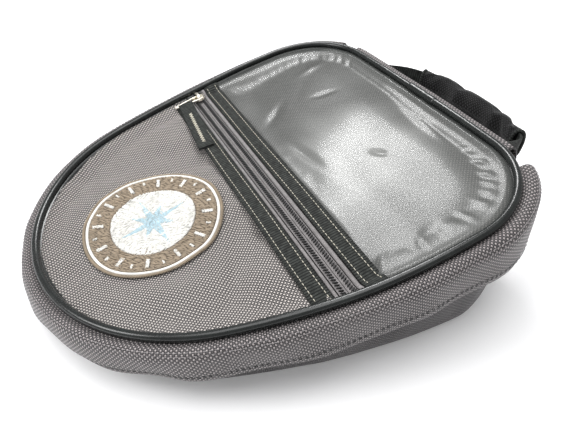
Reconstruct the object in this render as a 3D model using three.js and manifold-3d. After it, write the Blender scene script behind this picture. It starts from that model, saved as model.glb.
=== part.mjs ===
// Motorcycle tank bag: a soft teardrop box, low and round at the rider's end (-Y), tall and almost
// straight at the handle end (+Y). Millimetres, +Z up, origin on the underside of the base.
//
// The rim of the lid lies in one tilted plane. Places on the lid are written in the lid's frame:
// x to the right, v along the lid towards the handle, n square to the lid, measured from the rim.

import * as THREE from 'three';
import { mergeVertices } from 'three/addons/utils/BufferGeometryUtils.js';
import Module from 'manifold-3d';

const wasm = await Module();
wasm.setup();

// ---- driving dimensions ----

const rimLength = 310;
const rimWidth = 292;
const tipRadius = 128;
const sideRadius = 505;
const cornerRadius = 61.5;
const rearRadius = 3700;
const lidPitch = THREE.MathUtils.degToRad(10.5);
const rimHeight = 68.5;
const fit = 0.3;
const cloth = 1.2;

const pipingRadius = 2.75;
const sleeveWall = 0.7;
const sleeveStartX = -11;
const sleeveEndX = 23;

const lidTop = -4.9;
const windowThickness = 0.5;
const pocketDepth = 7;
const foamThickness = 3.6;
const liningThickness = 0.8;
const patchRadius = 51;
const patchV = -75;
const patchX = 1;

const mapZipV = 7;
const sliderParkX = -127.5;
const coilWidth = 4.4;
const coilHeight = 2.4;
const chainGap = 1.6;
const zipTapeWidth = 13;
const zipTapeThickness = 0.6;
const bindingWidth = 13.5;
const bindingInner = 9;
const bindingThickness = 1;

const mainZipDepth = 13;
const mainZipEnd = 78;
const coilEnd = 65;
const flapEnd = 63;
const rearWallEnd = 79.5;
const hingeClearance = 1;
const sliderPark = 72;

const hemDepthFront = 21;
const hemDepthRear = 40;
const baseInset = 5;
const tipTuck = 7;

const handleCentreX = 6;
const handleHalfSpan = 72;
const handleReach = 39;
const handleAxisY = 168.5;
const handleAxisZ = 79;
const handleDroop = THREE.MathUtils.degToRad(9);
const webbingWidth = 20;
const webbingThickness = 2.2;
const gripLength = 118;

// ---- materials ----

function material(color, roughness, metalness = 0) {
  return new THREE.MeshStandardMaterial({ color, roughness, metalness });
}

const nylon = () => material(0x6a6464, 0.85);
const darkNylon = () => material(0x3f3c3d, 0.9);
const blackWebbing = () => material(0x1c1c1e, 0.85);
const vinyl = () => material(0x141516, 0.25);
const coilPlastic = () => material(0x232325, 0.5);
const castMetal = () => material(0xe6e0cf, 0.28, 0.9);

// ---- rim outline: four arcs a side, each point named by the angle of its outward normal ----

const halfLength = rimLength / 2;
const tipCentre = { x: 0, v: -halfLength + tipRadius };
const sideCentre = {
  x: rimWidth / 2 - sideRadius,
  v: tipCentre.v + Math.sqrt((sideRadius - tipRadius) ** 2 - (sideRadius - rimWidth / 2) ** 2),
};
const rearCentre = { x: 0, v: halfLength - rearRadius };
const cornerCentre = meetingPoint(
  sideCentre, sideRadius - cornerRadius, rearCentre, rearRadius - cornerRadius,
);

// The right-hand crossing of two circles.
function meetingPoint(a, radiusA, b, radiusB) {
  const dx = b.x - a.x;
  const dv = b.v - a.v;
  const distance = Math.hypot(dx, dv);
  const along = (radiusA ** 2 - radiusB ** 2 + distance ** 2) / (2 * distance);
  const aside = Math.sqrt(radiusA ** 2 - along ** 2);
  const footX = a.x + (dx * along) / distance;
  const footV = a.v + (dv * along) / distance;
  return { x: footX - (dv * aside) / distance, v: footV + (dx * aside) / distance };
}

function bearing(from, to) {
  return THREE.MathUtils.radToDeg(Math.atan2(to.v - from.v, to.x - from.x));
}

const tipToSide = bearing(sideCentre, tipCentre);
const sideToCorner = bearing(sideCentre, cornerCentre);
const cornerToRear = bearing(rearCentre, cornerCentre);

const arcs = [
  { from: -90, to: tipToSide, step: 9, centre: tipCentre, radius: tipRadius },
  { from: tipToSide, to: sideToCorner, step: 5, centre: sideCentre, radius: sideRadius },
  { from: sideToCorner, to: cornerToRear, step: 10, centre: cornerCentre, radius: cornerRadius },
  { from: cornerToRear, to: 90, step: 1, centre: rearCentre, radius: rearRadius },
];

// A station on the rim. Angles beyond 90 or below -90 are the left side's.
function station(angle) {
  if (angle > 90 || angle < -90) {
    const twin = station((angle > 90 ? 180 : -180) - angle);
    return { x: -twin.x, v: twin.v, nx: -twin.nx, nv: twin.nv };
  }
  const arc = arcs.find(({ to }) => angle <= to + 1e-9);
  const radians = THREE.MathUtils.degToRad(angle);
  const nx = Math.cos(radians);
  const nv = Math.sin(radians);
  return { x: arc.centre.x + arc.radius * nx, v: arc.centre.v + arc.radius * nv, nx, nv };
}

// Every station angle on the right half, evenly spread within each arc.
const rightAngles = arcs.flatMap(({ from, to, step }) => {
  const count = Math.ceil((to - from) / step);
  return Array.from({ length: count }, (_, i) => from + ((to - from) * i) / count);
});
rightAngles.push(90);

// Stations from one angle to another, anticlockwise seen from above.
function walk(from, to) {
  const left = rightAngles.map((angle) => -180 - angle);
  const beyond = rightAngles.map((angle) => 180 - angle);
  const inner = [...left, ...rightAngles, ...beyond].filter((a) => a > from + 0.2 && a < to - 0.2);
  const sorted = [...new Set(inner)].sort((a, b) => a - b);
  return [from, ...sorted, to].map(station);
}

// ---- points ----

const lidPoint = (x, v, n) => new THREE.Vector3(
  x,
  v * Math.cos(lidPitch) - n * Math.sin(lidPitch),
  rimHeight + v * Math.sin(lidPitch) + n * Math.cos(lidPitch),
);

// Place on a sweep round the rim: outward offset and height square to the lid.
const rimPlace = (out, n) => (s) => lidPoint(s.x + s.nx * out, s.v + s.nv * out, n);

// The same, but plumb below the rim instead of square to the lid.
const plumbPlace = (out, n) => (s) => rimPlace(out + n * Math.tan(lidPitch) * s.nv, n)(s);

// How far the floor draws in under the rounded tip, beyond its even inset.
const tuckAt = (s) => tipTuck * ((halfLength - s.v) / rimLength) ** 2;
const noTuck = () => 0;

// Place near the floor: outward offset and height above the floor.
const floorPlace = (out, z) => (s) => {
  const offset = out - tuckAt(s);
  return new THREE.Vector3(s.x + s.nx * offset, (s.v + s.nv * offset) * Math.cos(lidPitch), z);
};

const midPlace = (high, low, share) => (s) => high(s).lerp(low(s), share);

// ---- closed surfaces from rings of points ----

function closedGeometry(points, triangles) {
  let volume = 0;
  for (const [a, b, c] of triangles) {
    volume += points[a].dot(new THREE.Vector3().crossVectors(points[b], points[c]));
  }
  const facing = volume < 0 ? triangles.map(([a, b, c]) => [a, c, b]) : triangles;
  const loose = new THREE.BufferGeometry();
  loose.setAttribute('position', new THREE.Float32BufferAttribute(points.flatMap((p) => p.toArray()), 3));
  loose.setIndex(facing.flat());
  return withoutSlivers(mergeVertices(loose, 1e-4));
}

// Drops the triangles whose corners have merged.
function withoutSlivers(geometry) {
  const index = Array.from(geometry.index.array);
  const kept = [];
  for (let i = 0; i < index.length; i += 3) {
    const [a, b, c] = index.slice(i, i + 3);
    if (a !== b && b !== c && c !== a) kept.push(a, b, c);
  }
  geometry.setIndex(kept);
  return geometry;
}

function quad(a, b, c, d) {
  return [[a, b, c], [a, c, d]];
}

// Skins rings of equal length. An open run is capped by pairing each ring's two halves.
function loft(rings, closed = false) {
  const size = rings[0].length;
  const at = (ring, i) => (ring % rings.length) * size + (i % size);
  const triangles = [];
  const spans = closed ? rings.length : rings.length - 1;
  for (let ring = 0; ring < spans; ring += 1) {
    for (let i = 0; i < size; i += 1) {
      triangles.push(...quad(at(ring, i), at(ring, i + 1), at(ring + 1, i + 1), at(ring + 1, i)));
    }
  }
  if (!closed) {
    const last = rings.length - 1;
    for (let i = 0; i < size / 2 - 1; i += 1) {
      const far = size - 1 - i;
      triangles.push(...quad(at(0, far), at(0, far - 1), at(0, i + 1), at(0, i)));
      triangles.push(...quad(at(last, i), at(last, i + 1), at(last, far - 1), at(last, far)));
    }
  }
  return closedGeometry(rings.flat(), triangles);
}

// A pipe-like piece: outer rings, inner rings and two flat ends.
function hollowLoft(outer, inner) {
  const size = outer[0].length;
  const count = outer.length;
  const at = (layer, ring, i) => (layer * count + ring) * size + (i % size);
  const triangles = [];
  for (let i = 0; i < size; i += 1) {
    for (let ring = 0; ring < count - 1; ring += 1) {
      triangles.push(...quad(at(0, ring, i), at(0, ring, i + 1), at(0, ring + 1, i + 1), at(0, ring + 1, i)));
      triangles.push(...quad(at(1, ring, i), at(1, ring + 1, i), at(1, ring + 1, i + 1), at(1, ring, i + 1)));
    }
    const last = count - 1;
    triangles.push(...quad(at(0, 0, i), at(1, 0, i), at(1, 0, i + 1), at(0, 0, i + 1)));
    triangles.push(...quad(at(0, last, i), at(0, last, i + 1), at(1, last, i + 1), at(1, last, i)));
  }
  return closedGeometry([...outer, ...inner].flat(), triangles);
}

// A wall swept round the rim. The outer face is a list of places made for an extra offset.
function wall(stations, outerFace, thickness) {
  const outer = outerFace(0);
  const inner = outerFace(-thickness).reverse();
  return loft(stations.map((s) => [...outer, ...inner].map((place) => place(s))));
}

// Width of the rim, drawn in by an inset, at rows between two values of v.
function rows(fromV, toV, inset, tuck = noTuck) {
  const edge = rightAngles.map((angle) => {
    const s = station(angle);
    const drawnIn = inset + tuck(s);
    return { v: s.v - s.nv * drawnIn, x: Math.max(0, s.x - s.nx * drawnIn) };
  });
  const widthAt = (v) => {
    const next = Math.max(1, edge.findIndex((point) => point.v >= v));
    const [a, b] = [edge[next - 1], edge[next]];
    return { v, x: a.x + ((b.x - a.x) * (v - a.v)) / (b.v - a.v) };
  };
  const low = Math.max(fromV, edge[0].v);
  const flank = edge.filter((point) => point.x > 0.5 || point.v < 0);
  const high = Math.min(toV, flank[flank.length - 1].v);
  const inner = flank.filter((point) => point.v > low + 0.5 && point.v < high - 0.1);
  return [widthAt(low), ...inner, widthAt(high)];
}

// A flat piece of the lid between two values of v.
function lidPlate(fromV, toV, inset, top, thickness) {
  const rings = rows(fromV, toV, inset).map(({ v, x }) => [
    lidPoint(-x, v, top), lidPoint(x, v, top), lidPoint(x, v, top - thickness), lidPoint(-x, v, top - thickness),
  ]);
  return loft(rings);
}

// A flat piece parallel to the floor.
function floorPlate(inset, bottom, thickness) {
  const level = (x, v, z) => new THREE.Vector3(x, v * Math.cos(lidPitch), z);
  const rings = rows(-halfLength, halfLength, inset, tuckAt).map(({ v, x }) => [
    level(-x, v, bottom + thickness), level(x, v, bottom + thickness), level(x, v, bottom), level(-x, v, bottom),
  ]);
  return loft(rings);
}

// ---- booleans ----

function toSolid(geometry) {
  const bare = geometry.clone();
  bare.deleteAttribute('normal');
  bare.deleteAttribute('uv');
  const merged = mergeVertices(bare, 1e-4);
  return new wasm.Manifold(new wasm.Mesh({
    numProp: 3,
    vertProperties: new Float32Array(merged.attributes.position.array),
    triVerts: new Uint32Array(merged.index.array),
  }));
}

function toGeometry(solid) {
  const mesh = solid.getMesh();
  const geometry = new THREE.BufferGeometry();
  geometry.setAttribute('position', new THREE.Float32BufferAttribute(mesh.vertProperties, 3));
  geometry.setIndex(Array.from(mesh.triVerts));
  return geometry;
}

const joined = (...geometries) => toGeometry(geometries.map(toSolid).reduce((a, b) => a.add(b)));
const cut = (geometry, tool) => toGeometry(toSolid(geometry).subtract(toSolid(tool)));

function block(sizeX, sizeY, sizeZ, x = 0, y = 0, z = 0) {
  return new THREE.BoxGeometry(sizeX, sizeY, sizeZ).translate(x, y, z);
}

// ---- assembly ----

const bag = new THREE.Group();

function add(name, geometry, finish, parent = bag) {
  const mesh = new THREE.Mesh(geometry, finish);
  mesh.name = name;
  parent.add(mesh);
  return mesh;
}

// ---- lid: top panels, pocket and its zip ----

const chainInner = chainGap / 2;
const tapeInner = chainInner + coilWidth + fit;
const panelEdge = bindingInner + 1.5;
const pocketFloorTop = lidTop - windowThickness - pocketDepth;
const foamTop = pocketFloorTop - cloth - fit;
const tapeTop = lidTop - cloth - fit;
const chainLevel = lidTop - coilHeight / 2;
const topInset = 3.4;
const underInset = 6.5;
const pocketFront = mapZipV - tapeInner - zipTapeWidth - 1;

add('nose_panel', lidPlate(-halfLength, mapZipV - panelEdge, topInset, lidTop, cloth), nylon());
add('pocket_floor', lidPlate(pocketFront, halfLength, underInset, pocketFloorTop, cloth), nylon());
add('map_window', lidPlate(mapZipV + panelEdge, halfLength, topInset, lidTop, windowThickness),
  material(0xbfc6c8, 0.08));

for (const [name, side] of [['front', -1], ['rear', 1]]) {
  const strip = (near, width, inset, top, thickness) => {
    const ends = [mapZipV + side * near, mapZipV + side * (near + width)];
    return lidPlate(Math.min(...ends), Math.max(...ends), inset, top, thickness);
  };
  const bindingTop = lidTop + fit + bindingThickness;
  add(`${name}_binding_tape`, strip(bindingInner, bindingWidth, topInset, bindingTop, bindingThickness),
    blackWebbing());
  add(`${name}_zip_tape`, strip(tapeInner, zipTapeWidth, topInset, tapeTop, zipTapeThickness),
    material(0x8c8889, 0.8));
  add(`${name}_zip_coil`, strip(chainInner, coilWidth, 4.5, lidTop, coilHeight), coilPlastic());
}

function emblemPatch() {
  const thickness = 1.3;
  const disc = new THREE.CylinderGeometry(patchRadius, patchRadius, thickness, 40);
  disc.rotateX(Math.PI / 2 + lidPitch);
  const centre = lidPoint(patchX, patchV, lidTop + fit + thickness / 2);
  return disc.translate(centre.x, centre.y, centre.z);
}
add('emblem_patch', emblemPatch(), material(0x8f7f6c, 0.9));

// Foam is full height under the nose panel and thin under the pocket.
function lidFoam() {
  const stepV = pocketFront - 1.5;
  const bottom = foamTop - foamThickness;
  const noseTop = tapeTop;
  const profile = rows(-halfLength, halfLength, underInset);
  const nose = profile.filter(({ v }) => v < stepV - 1);
  const rest = profile.filter(({ v }) => v > stepV + 1);
  const edge = rows(-halfLength, stepV, underInset).at(-1);
  const ring = ({ v, x }, top) => [
    lidPoint(-x, v, top), lidPoint(x, v, top), lidPoint(x, v, bottom), lidPoint(-x, v, bottom),
  ];
  return loft([
    ...nose.map((row) => ring(row, noseTop)),
    ring(edge, noseTop),
    ring({ v: stepV + 0.5, x: edge.x }, foamTop),
    ...rest.map((row) => ring(row, foamTop)),
  ]);
}
add('lid_foam', lidFoam(), material(0x55565a, 0.95));
add('lid_lining', lidPlate(-halfLength, halfLength, underInset, foamTop - foamThickness - fit, liningThickness),
  darkNylon());

// ---- lid: rim piping and its joiner sleeve ----

function ringAt(radius, sides, place) {
  return Array.from({ length: sides }, (_, i) => {
    const turn = (2 * Math.PI * i) / sides;
    return place(radius * Math.cos(turn), radius * Math.sin(turn));
  });
}

function piping() {
  const stations = walk(-90, 270).slice(0, -1);
  return loft(stations.map((s) => ringAt(pipingRadius, 10, (out, n) => rimPlace(out, n)(s))), true);
}
add('piping', piping(), vinyl());

function pipingSleeve() {
  const inner = pipingRadius + fit;
  const rearEdge = (x) => Math.sqrt(rearRadius ** 2 - x ** 2) + rearCentre.v;
  const ringAtX = (radius) => (x) => ringAt(radius, 16, (out, n) => lidPoint(x, rearEdge(x) + out, n));
  const ends = [sleeveStartX, sleeveEndX];
  return hollowLoft(ends.map(ringAtX(inner + sleeveWall)), ends.map(ringAtX(inner)));
}
add('piping_sleeve', pipingSleeve(), vinyl());

// ---- main zip, round the sides and the tip ----

const tapeOut = -1.8;
const coilOut = 0.9;
const coilDeep = 2.4;
const sweepTo = (angle) => walk(-180 - angle, angle);
const strip = (outer, top, bottom) => (extra) => [
  rimPlace(outer + extra, top), rimPlace(outer + extra, bottom),
];
const lidCoilBottom = -mainZipDepth + chainGap / 2;
const baseCoilTop = -mainZipDepth - chainGap / 2;
const mainCoilWidth = 3;

add('lid_band', wall(sweepTo(mainZipEnd), strip(-0.3, -pipingRadius - fit, -8), cloth), nylon());
add('lid_zip_tape', wall(sweepTo(coilEnd), strip(tapeOut, -4, lidCoilBottom), zipTapeThickness),
  blackWebbing());
add('lid_zip_coil', wall(sweepTo(coilEnd), strip(coilOut, lidCoilBottom + mainCoilWidth, lidCoilBottom), coilDeep),
  coilPlastic());
add('base_zip_tape', wall(sweepTo(mainZipEnd), strip(tapeOut, baseCoilTop, -19), zipTapeThickness),
  blackWebbing());
add('base_zip_coil', wall(sweepTo(coilEnd), strip(coilOut, baseCoilTop, baseCoilTop - mainCoilWidth), coilDeep),
  coilPlastic());

// ---- rain flap: hangs from the piping over the main zip, deeper towards the handle ----

function hem(s) {
  const share = (s.v + halfLength) / rimLength;
  return -(hemDepthFront + (hemDepthRear - hemDepthFront) * share);
}

// Plumb round the tip; towards the handle it stands square to the lid, clear of the zip's slider.
const flapPlace = (out, n) => (s) => (s.nv < 0 ? plumbPlace : rimPlace)(out, n)(s);

const flapFace = (extra) => [
  flapPlace(2.0 + extra, -pipingRadius - fit),
  flapPlace(7.5 + extra, -pipingRadius - fit - 0.8),
  flapPlace(11.3 + extra, -7.5),
  flapPlace(11.6 + extra, -14),
  (s) => flapPlace(9.5 + extra, hem(s))(s),
];
const flapSplit = sideToCorner;
const splitGap = 0.15;

add('rain_flap', wall(sweepTo(flapSplit - splitGap), flapFace, cloth), nylon());
add('rain_flap_end_right', wall(walk(flapSplit + splitGap, flapEnd), flapFace, cloth), nylon());
add('rain_flap_end_left', wall(walk(180 - flapEnd, 180 - flapSplit - splitGap), flapFace, cloth), nylon());

// ---- base: walls, floor and what lies on it ----

const gussetTop = baseCoilTop - mainCoilWidth - fit;
const gussetFace = (extra) => {
  const high = rimPlace(-0.1 + extra, gussetTop);
  const low = floorPlace(-baseInset + extra, 0.4);
  const bulge = (out, share) => midPlace(rimPlace(out + extra, gussetTop), floorPlace(out + extra, 0.4), share);
  return [high, bulge(2.2, 0.35), bulge(1.6, 0.7), low];
};
add('side_gusset', wall(sweepTo(mainZipEnd), gussetFace, cloth), darkNylon());

const rearFace = (extra) => {
  const low = floorPlace(-baseInset + extra, 0.4);
  return [
    plumbPlace(0.8 + extra, -pipingRadius - sleeveWall - 2 * fit - hingeClearance),
    plumbPlace(7 + extra, -pipingRadius - sleeveWall - 3 * fit - hingeClearance),
    plumbPlace(11 + extra, -10.5),
    plumbPlace(11.5 + extra, -22),
    midPlace(plumbPlace(8.5 + extra, -22), floorPlace(8.5 + extra, 0.4), 0.5),
    low,
  ];
};
add('rear_wall', wall(walk(rearWallEnd, 180 - rearWallEnd), rearFace, cloth), nylon());

const liningFace = (extra) => {
  const high = rimPlace(-3.2 + extra, -25.5);
  const low = floorPlace(-baseInset - 2 + extra, 9.5);
  const middle = midPlace(rimPlace(-1.6 + extra, -25.5), floorPlace(-1.6 + extra, 9.5), 0.4);
  return [high, middle, low];
};

function baseLining() {
  const stations = walk(-90, 270).slice(0, -1);
  const outer = liningFace(0);
  const inner = liningFace(-liningThickness).reverse();
  return loft(stations.map((s) => [...outer, ...inner].map((place) => place(s))), true);
}
add('base_lining', baseLining(), darkNylon());

const floorInset = baseInset + cloth + 0.8;
const panelThickness = 1.6;
const magnetBottom = panelThickness + fit;
const magnetThickness = 3;
const boardBottom = magnetBottom + magnetThickness + fit;
const boardThickness = 2;

add('base_panel', floorPlate(floorInset, 0, panelThickness), material(0x2a2a2c, 0.95));
add('base_board', floorPlate(floorInset + 1, boardBottom, boardThickness), material(0x242426, 0.7));

const magnetPlaces = [[-82, 78], [82, 78], [-62, -48], [62, -48]];
magnetPlaces.forEach(([x, y], i) => {
  const magnet = new THREE.CylinderGeometry(20, 20, magnetThickness, 24);
  magnet.rotateX(Math.PI / 2).translate(x, y, magnetBottom + magnetThickness / 2);
  add(`magnet_${i + 1}`, magnet, material(0x8b8d90, 0.4, 0.8));
});

// ---- pocket zip slider, pull ring and pull tab ----

const sliderLength = 14;
const sliderWidth = 12;
const plateThickness = 1.2;
const postWidth = 1;

// Two plates joined by a post, with a bridge over the top that carries the pull.
// x runs along the zip, y across it and z away from the cloth; the chain's middle is at z = 0.
function sliderBody(halfChain, bridgeRise) {
  const plateMiddle = halfChain + plateThickness / 2;
  const bridgeTop = halfChain + plateThickness + bridgeRise;
  const outer = block(sliderLength, sliderWidth, plateThickness, 0, 0, plateMiddle);
  const inner = block(sliderLength, sliderWidth, plateThickness, 0, 0, -plateMiddle);
  const post = block(4, postWidth, 2 * plateMiddle, 0, 0, 0);
  const arch = block(10, 3, bridgeTop - plateMiddle, 0, 0, (bridgeTop + plateMiddle) / 2);
  const eye = block(7, 5, bridgeRise - 1, 0, 0, bridgeTop - 1 - (bridgeRise - 1) / 2);
  return cut(joined(outer, inner, post, arch), eye);
}

const mapSlider = new THREE.Group();
mapSlider.position.copy(lidPoint(sliderParkX, mapZipV, chainLevel));
mapSlider.rotation.x = lidPitch;
bag.add(mapSlider);
add('map_slider', sliderBody(coilHeight / 2 + fit, 3.2), castMetal(), mapSlider);

// A flat wire loop through corner points, with rounded corners.
function wireLoop(corners, radius) {
  const curve = new THREE.CatmullRomCurve3(corners, true, 'centripetal');
  const steps = 24;
  const rings = Array.from({ length: steps }, (_, i) => {
    const point = curve.getPointAt(i / steps);
    const tangent = curve.getTangentAt(i / steps);
    const side = new THREE.Vector3(tangent.y, -tangent.x, 0).normalize();
    return ringAt(radius, 6, (out, up) => point.clone().addScaledVector(side, out).setZ(point.z + up));
  });
  return loft(rings, true);
}

const ringLevel = coilHeight / 2 + fit + plateThickness + 1.0;
const ringBarX = 6.5;
const tabMiddleY = -13.8;
const ringCorners = [
  [0, -2.6], [0, 0], [0, 2.4], [1.8, 3.8], [ringBarX - 1.5, 3.2], [ringBarX, 0.5],
  [ringBarX, tabMiddleY + 7.3], [ringBarX, tabMiddleY - 6.7], [ringBarX - 2, tabMiddleY - 8.2],
].map(([x, y]) => new THREE.Vector3(x, y, ringLevel));
add('map_pull_ring', wireLoop(ringCorners, 0.8), castMetal(), mapSlider);

const tabLength = 70;
const tabWidth = 13;
const tabThickness = 1.6;
function pullTab() {
  const tab = block(tabLength, tabWidth, tabThickness, tabLength / 2, 0, 0);
  return tab.rotateZ(THREE.MathUtils.degToRad(-5)).translate(ringBarX + 2.4, tabMiddleY, ringLevel);
}
add('map_pull_tab', pullTab(), blackWebbing(), mapSlider);

// ---- main zip slider, parked at the right-hand end of the zip ----

const parked = station(sliderPark);
const chainMiddleOut = (coilOut + tapeOut - zipTapeThickness) / 2;
const mainSlider = new THREE.Group();
const alongZip = new THREE.Vector3(parked.nv, -parked.nx, 0);
const outOfZip = new THREE.Vector3(parked.nx, parked.nv, 0);
const lidUp = new THREE.Vector3(0, 0, 1);
const turn = new THREE.Matrix4().makeBasis(alongZip, lidUp.clone().negate(), outOfZip);
mainSlider.quaternion.setFromRotationMatrix(new THREE.Matrix4().makeRotationX(lidPitch).multiply(turn));
mainSlider.position.copy(rimPlace(chainMiddleOut, -mainZipDepth)(parked));
bag.add(mainSlider);
const mainHalfChain = 2.35;
add('main_slider', sliderBody(mainHalfChain, 2.3), castMetal(), mainSlider);

// The ring hangs with one leg through the bridge, at x = 0, and swings about that leg.
const mainRingLevel = mainHalfChain + plateThickness + 0.65;
const mainRingWidth = 7.8;
const mainRingTop = -3;
const mainRingFoot = 9.4;
const mainRingCorners = [
  [0, mainRingTop + 1.2], [0, 3], [0, mainRingFoot - 1.2], [1.2, mainRingFoot],
  [mainRingWidth - 1.2, mainRingFoot], [mainRingWidth, mainRingFoot - 1.2],
  [mainRingWidth, mainRingTop + 1.2], [mainRingWidth - 1.2, mainRingTop], [1.2, mainRingTop],
].map(([x, y]) => new THREE.Vector3(x, y, mainRingLevel));
const mainTabLength = 24;
const mainTabMiddle = mainRingFoot + 1.6 + mainTabLength / 2;
add('main_pull_ring', wireLoop(mainRingCorners, 0.5), castMetal(), mainSlider);
add('main_pull_tab', block(8, mainTabLength, 1.2, mainRingWidth / 2, mainTabMiddle, mainRingLevel),
  blackWebbing(), mainSlider);

// ---- carry handle on the rear wall ----

const handle = new THREE.Group();
handle.position.set(handleCentreX, handleAxisY, handleAxisZ);
handle.rotation.x = -handleDroop;
bag.add(handle);

// Plan of the handle: a loop with round shoulders, standing off the wall.
function handlePoint(t) {
  const squareness = 0.62;
  const across = Math.cos(t);
  const x = handleHalfSpan * Math.sign(across) * Math.abs(across) ** squareness;
  return new THREE.Vector3(x, handleReach * Math.abs(Math.sin(t)) ** squareness, 0);
}

function handleFrames(from, to, count) {
  return Array.from({ length: count + 1 }, (_, i) => {
    const t = from + ((to - from) * i) / count;
    const point = handlePoint(t);
    const tangent = handlePoint(t + 0.01).sub(handlePoint(t - 0.01)).normalize();
    return { point, out: new THREE.Vector3(tangent.y, -tangent.x, 0) };
  });
}

const sectionRing = ({ point, out }, half, height) => [
  point.clone().addScaledVector(out, -half).setZ(height),
  point.clone().addScaledVector(out, half).setZ(height),
  point.clone().addScaledVector(out, half).setZ(-height),
  point.clone().addScaledVector(out, -half).setZ(-height),
];

// The webbing is folded narrow where it leaves the wall.
function handleWebbing() {
  const frames = handleFrames(0.1, Math.PI - 0.1, 26);
  return loft(frames.map((frame) => {
    const spread = Math.min(1, Math.max(0, (frame.point.y - 10) / 18));
    const height = 6 + (webbingWidth / 2 - 6) * spread;
    return sectionRing(frame, webbingThickness / 2, height);
  }));
}
add('handle_webbing', handleWebbing(), blackWebbing(), handle);

function handleGrip() {
  const halfTurn = Math.acos((gripLength / 2 / handleHalfSpan) ** (1 / 0.62));
  const frames = handleFrames(halfTurn, Math.PI - halfTurn, 12);
  const oval = ({ point, out }, half, height) => ringAt(1, 12, (a, b) => {
    const across = Math.sign(a) * Math.abs(a) ** 0.7 * half;
    const upward = Math.sign(b) * Math.abs(b) ** 0.7 * height;
    return point.clone().addScaledVector(out, across).setZ(upward);
  });
  const inner = (frame) => oval(frame, webbingThickness / 2 + 1.6, webbingWidth / 2 + 2.6);
  const outer = (frame) => oval(frame, webbingThickness / 2 + 5.2, webbingWidth / 2 + 5);
  return hollowLoft(frames.map(outer), frames.map(inner));
}
add('handle_grip', handleGrip(), blackWebbing(), handle);

const anchorHeight = 22;
for (const [name, side] of [['left', -1], ['right', 1]]) {
  const x = handleCentreX + side * handleHalfSpan;
  const anchor = block(webbingWidth, webbingThickness, anchorHeight, x, handleAxisY - 1.8, handleAxisZ - 1);
  add(`handle_anchor_${name}`, anchor, blackWebbing());
}

export default bag;
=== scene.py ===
"""Soft motorcycle tank bag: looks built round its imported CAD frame.

Lengths are in millimetres until a mesh is made, and places on the lid are (x, v, n) in the lid's own
tilted frame: x to the right, v along the lid towards the handle, n square to it, from the rim's plane.
"""

import math

import bmesh
import bpy
import numpy as np
from mathutils import Matrix, Vector


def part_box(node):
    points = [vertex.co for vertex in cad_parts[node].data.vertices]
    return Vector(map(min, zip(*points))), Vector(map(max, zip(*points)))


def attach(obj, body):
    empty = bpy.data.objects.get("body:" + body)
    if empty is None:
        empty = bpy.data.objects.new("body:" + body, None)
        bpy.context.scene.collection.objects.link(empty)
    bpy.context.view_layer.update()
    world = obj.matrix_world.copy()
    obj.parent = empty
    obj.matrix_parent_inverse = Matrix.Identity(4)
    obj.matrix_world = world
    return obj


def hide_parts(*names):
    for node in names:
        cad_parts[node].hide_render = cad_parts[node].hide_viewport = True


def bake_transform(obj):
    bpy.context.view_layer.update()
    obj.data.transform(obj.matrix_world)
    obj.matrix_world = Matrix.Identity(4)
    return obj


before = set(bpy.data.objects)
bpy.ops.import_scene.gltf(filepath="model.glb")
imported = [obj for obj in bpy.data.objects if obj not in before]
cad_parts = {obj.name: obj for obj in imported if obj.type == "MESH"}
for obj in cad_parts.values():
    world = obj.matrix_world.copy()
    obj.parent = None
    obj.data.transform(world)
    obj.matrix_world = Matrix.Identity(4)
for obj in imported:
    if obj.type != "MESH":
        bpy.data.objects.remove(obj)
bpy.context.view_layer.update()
MM = 0.001

# ---- driving dimensions, as in the CAD ----

RIM_LENGTH = 310.0
RIM_WIDTH = 292.0
TIP_RADIUS = 128.0
SIDE_RADIUS = 505.0
CORNER_RADIUS = 61.5
REAR_RADIUS = 3700.0
PITCH = math.radians(10.5)
RIM_HEIGHT = 68.5
PIPING_RADIUS = 2.75
ZIP_V = 7.0
ZIP_DEPTH = 13.0
ZIP_END = 78.0
COIL_END = 65.0
FLAP_END = 63.5
REAR_END = 79.5
SLIDER_PARK = 72.0
SLIDER_X = -127.5
PATCH_X = 1.0
PATCH_V = -75.0
PATCH_RADIUS = 51.0
NOSE_TILT = 0.07
TILT_X, TILT_V = 0.895, -0.446
BINDING_INNER = 9.0
BINDING_OUTER = 22.5
CHAIN_N = -6.1
BASE_INSET = 5.0
TIP_TUCK = 7.0
HEM_DEPTH_FRONT = 21.0
HEM_DEPTH_REAR = 40.0
HANDLE_X = 6.0
HANDLE_Y = 168.5
HANDLE_Z = 79.0
HANDLE_REACH = 39.0
HANDLE_DROOP = math.radians(9.0)

# The soft rim leans to the right and drops a little on that side, most of all half way along.
LEAN = 3.7
DROP = 1.2

# What the pieces are cut from, and the stitches in them.
CLOTH_THICKNESS = 1.2
LINING_THICKNESS = 0.8
FILM_THICKNESS = 0.4
TAPE_THICKNESS = 0.6
STITCH_LENGTH = 2.6
STITCH_GAP = 0.8
UNDER_BINDING = 1.5

# ---- the rim's outline, each point named by the angle of its outward normal ----

HALF = RIM_LENGTH / 2
tip_centre = np.array([0.0, TIP_RADIUS - HALF])
side_offset = SIDE_RADIUS - RIM_WIDTH / 2
side_centre = np.array([
    -side_offset,
    tip_centre[1] + math.sqrt((SIDE_RADIUS - TIP_RADIUS) ** 2 - side_offset ** 2),
])
rear_centre = np.array([0.0, HALF - REAR_RADIUS])


def circle_crossing(a, radius_a, b, radius_b):
    """The right-hand crossing of two circles."""
    gap = b - a
    distance = np.hypot(*gap)
    along = (radius_a ** 2 - radius_b ** 2 + distance ** 2) / (2 * distance)
    aside = math.sqrt(radius_a ** 2 - along ** 2)
    return a + gap * along / distance + np.array([-gap[1], gap[0]]) * aside / distance


def bearing(start, end):
    return math.degrees(math.atan2(end[1] - start[1], end[0] - start[0]))


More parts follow.
